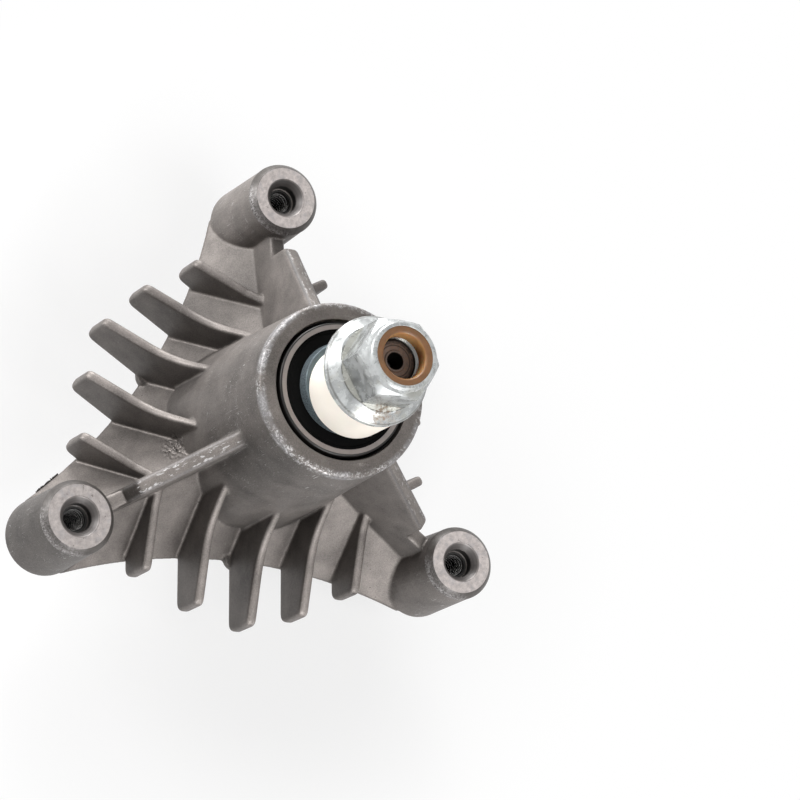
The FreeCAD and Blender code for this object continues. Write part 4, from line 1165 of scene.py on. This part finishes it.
class SPINDLE_OT_stage(bpy.types.Operator):
    """Set up the floor, the soft light and the photograph's camera"""

    bl_idname = "spindle.stage"
    bl_label = "Stage"

    def execute(self, context):
        self.add_floor()
        self.add_lamps()
        self.add_world()
        self.add_camera()
        context.scene.view_settings.view_transform = "Standard"
        return {"FINISHED"}

    def add_floor(self):
        deselect_all()
        bpy.ops.mesh.primitive_circle_add(vertices=96, radius=1.4, fill_type="NGON",
                                          location=(0.0, 0.0, CAD_BOX[0][2] - 0.0002))
        floor = new_piece("studio_floor")
        f = Finish("studio_floor")
        faint = f.spread(f.noise(60.0, 2.0, 0.5), 0.99, 1.01)
        f.give(colour=f.brightened(colours().floor, faint), rough=0.9, specular=0.1)
        rays = f.tree.nodes.new("ShaderNodeLightPath")
        seen = f.any_of(rays.outputs["Is Camera Ray"], rays.outputs["Is Glossy Ray"],
                        rays.outputs["Is Transmission Ray"])
        white = f.tree.nodes.new("ShaderNodeEmission")
        mixed = f.tree.nodes.new("ShaderNodeMixShader")
        f.feed(mixed.inputs[0], f.all_of(seen, f.level(f.rise(f.radius, 80.0, 160.0), 0.6, 1.0)))
        f.tree.links.new(f.shader.outputs[0], mixed.inputs[1])
        f.tree.links.new(white.outputs[0], mixed.inputs[2])
        f.tree.links.new(mixed.outputs[0], f.tree.nodes["Material Output"].inputs["Surface"])
        settle(floor, f.material)

    def add_lamps(self):
        for name, place, size, power in LAMPS:
            deselect_all()
            bpy.ops.object.light_add(type="AREA", location=place)
            lamp = bpy.context.active_object
            lamp.name = name
            lamp.data.shape = "DISK"
            lamp.data.size = size
            lamp.data.energy = power
            lamp.rotation_euler = (-Vector(place)).to_track_quat("-Z", "Y").to_euler()

    def add_world(self):
        world = bpy.data.worlds.new("studio_air")
        bpy.context.scene.world = world
        world.use_nodes = True
        tree = world.node_tree
        rays = tree.nodes.new("ShaderNodeLightPath")
        seen = rays.outputs["Is Camera Ray"]
        for name in ("Is Glossy Ray", "Is Transmission Ray"):
            either = tree.nodes.new("ShaderNodeMath")
            either.operation = "MAXIMUM"
            tree.links.new(seen, either.inputs[0])
            tree.links.new(rays.outputs[name], either.inputs[1])
            seen = either.outputs[0]
        air = tree.nodes["Background"]
        white = tree.nodes.new("ShaderNodeBackground")
        for back, strength in ((air, AIR_LIGHT), (white, 1.0)):
            back.inputs["Color"].default_value = (1.0, 1.0, 1.0, 1.0)
            back.inputs["Strength"].default_value = strength
        mixed = tree.nodes.new("ShaderNodeMixShader")
        for socket, value in zip(mixed.inputs, (seen, air.outputs[0], white.outputs[0])):
            tree.links.new(value, socket)
        tree.links.new(mixed.outputs[0], tree.nodes["World Output"].inputs["Surface"])

    def add_camera(self):
        bpy.ops.object.camera_add()
        camera = bpy.context.active_object
        camera.name = "photo_camera"
        forward = Vector(CAMERA_FORWARD).normalized()
        right = Vector(CAMERA_RIGHT)
        right = (right - forward * right.dot(forward)).normalized()
        upward = right.cross(forward)
        turned = Matrix((right, upward, -forward)).transposed()
        camera.matrix_world = Matrix.Translation(Vector(CAMERA_PLACE) * MM) @ turned.to_4x4()
        camera.data.sensor_width = SENSOR_WIDTH
        camera.data.lens = CAMERA_FOCAL_PIXELS / FRAME_PIXELS * SENSOR_WIDTH
        camera.data.clip_start = 0.05
        camera.data.clip_end = 50.0
        bpy.context.scene.camera = camera


class SPINDLE_PT_panel(bpy.types.Panel):
    """Sizes, colours and steps of the spindle"""

    bl_idname = "SPINDLE_PT_panel"
    bl_label = "Mower deck spindle"
    bl_space_type = "VIEW_3D"
    bl_region_type = "UI"
    bl_category = "Spindle"

    def draw(self, context):
        for step in STEPS:
            self.layout.operator(step.bl_idname)
        for group in (context.scene.spindle_sizes, context.scene.spindle_colours):
            box = self.layout.box()
            for name in group.__annotations__:
                box.prop(group, name)


STEPS = (SPINDLE_OT_casting, SPINDLE_OT_boss_holes, SPINDLE_OT_flash, SPINDLE_OT_threads,
         SPINDLE_OT_finishes, SPINDLE_OT_stage)
CLASSES = (SpindleSizes, SpindleColours, *STEPS, SPINDLE_PT_panel)


def register():
    for cls in CLASSES:
        bpy.utils.register_class(cls)
    bpy.types.Scene.spindle_sizes = bpy.props.PointerProperty(type=SpindleSizes)
    bpy.types.Scene.spindle_colours = bpy.props.PointerProperty(type=SpindleColours)


def unregister():
    del bpy.types.Scene.spindle_sizes
    del bpy.types.Scene.spindle_colours
    for cls in reversed(CLASSES):
        bpy.utils.unregister_class(cls)


def main():
    register()
    bpy.ops.spindle.casting()
    bpy.ops.spindle.boss_holes()
    bpy.ops.spindle.flash()
    bpy.ops.spindle.threads()
    bpy.ops.spindle.finishes()
    bpy.ops.spindle.stage()


if __name__ == "__main__":
    main()
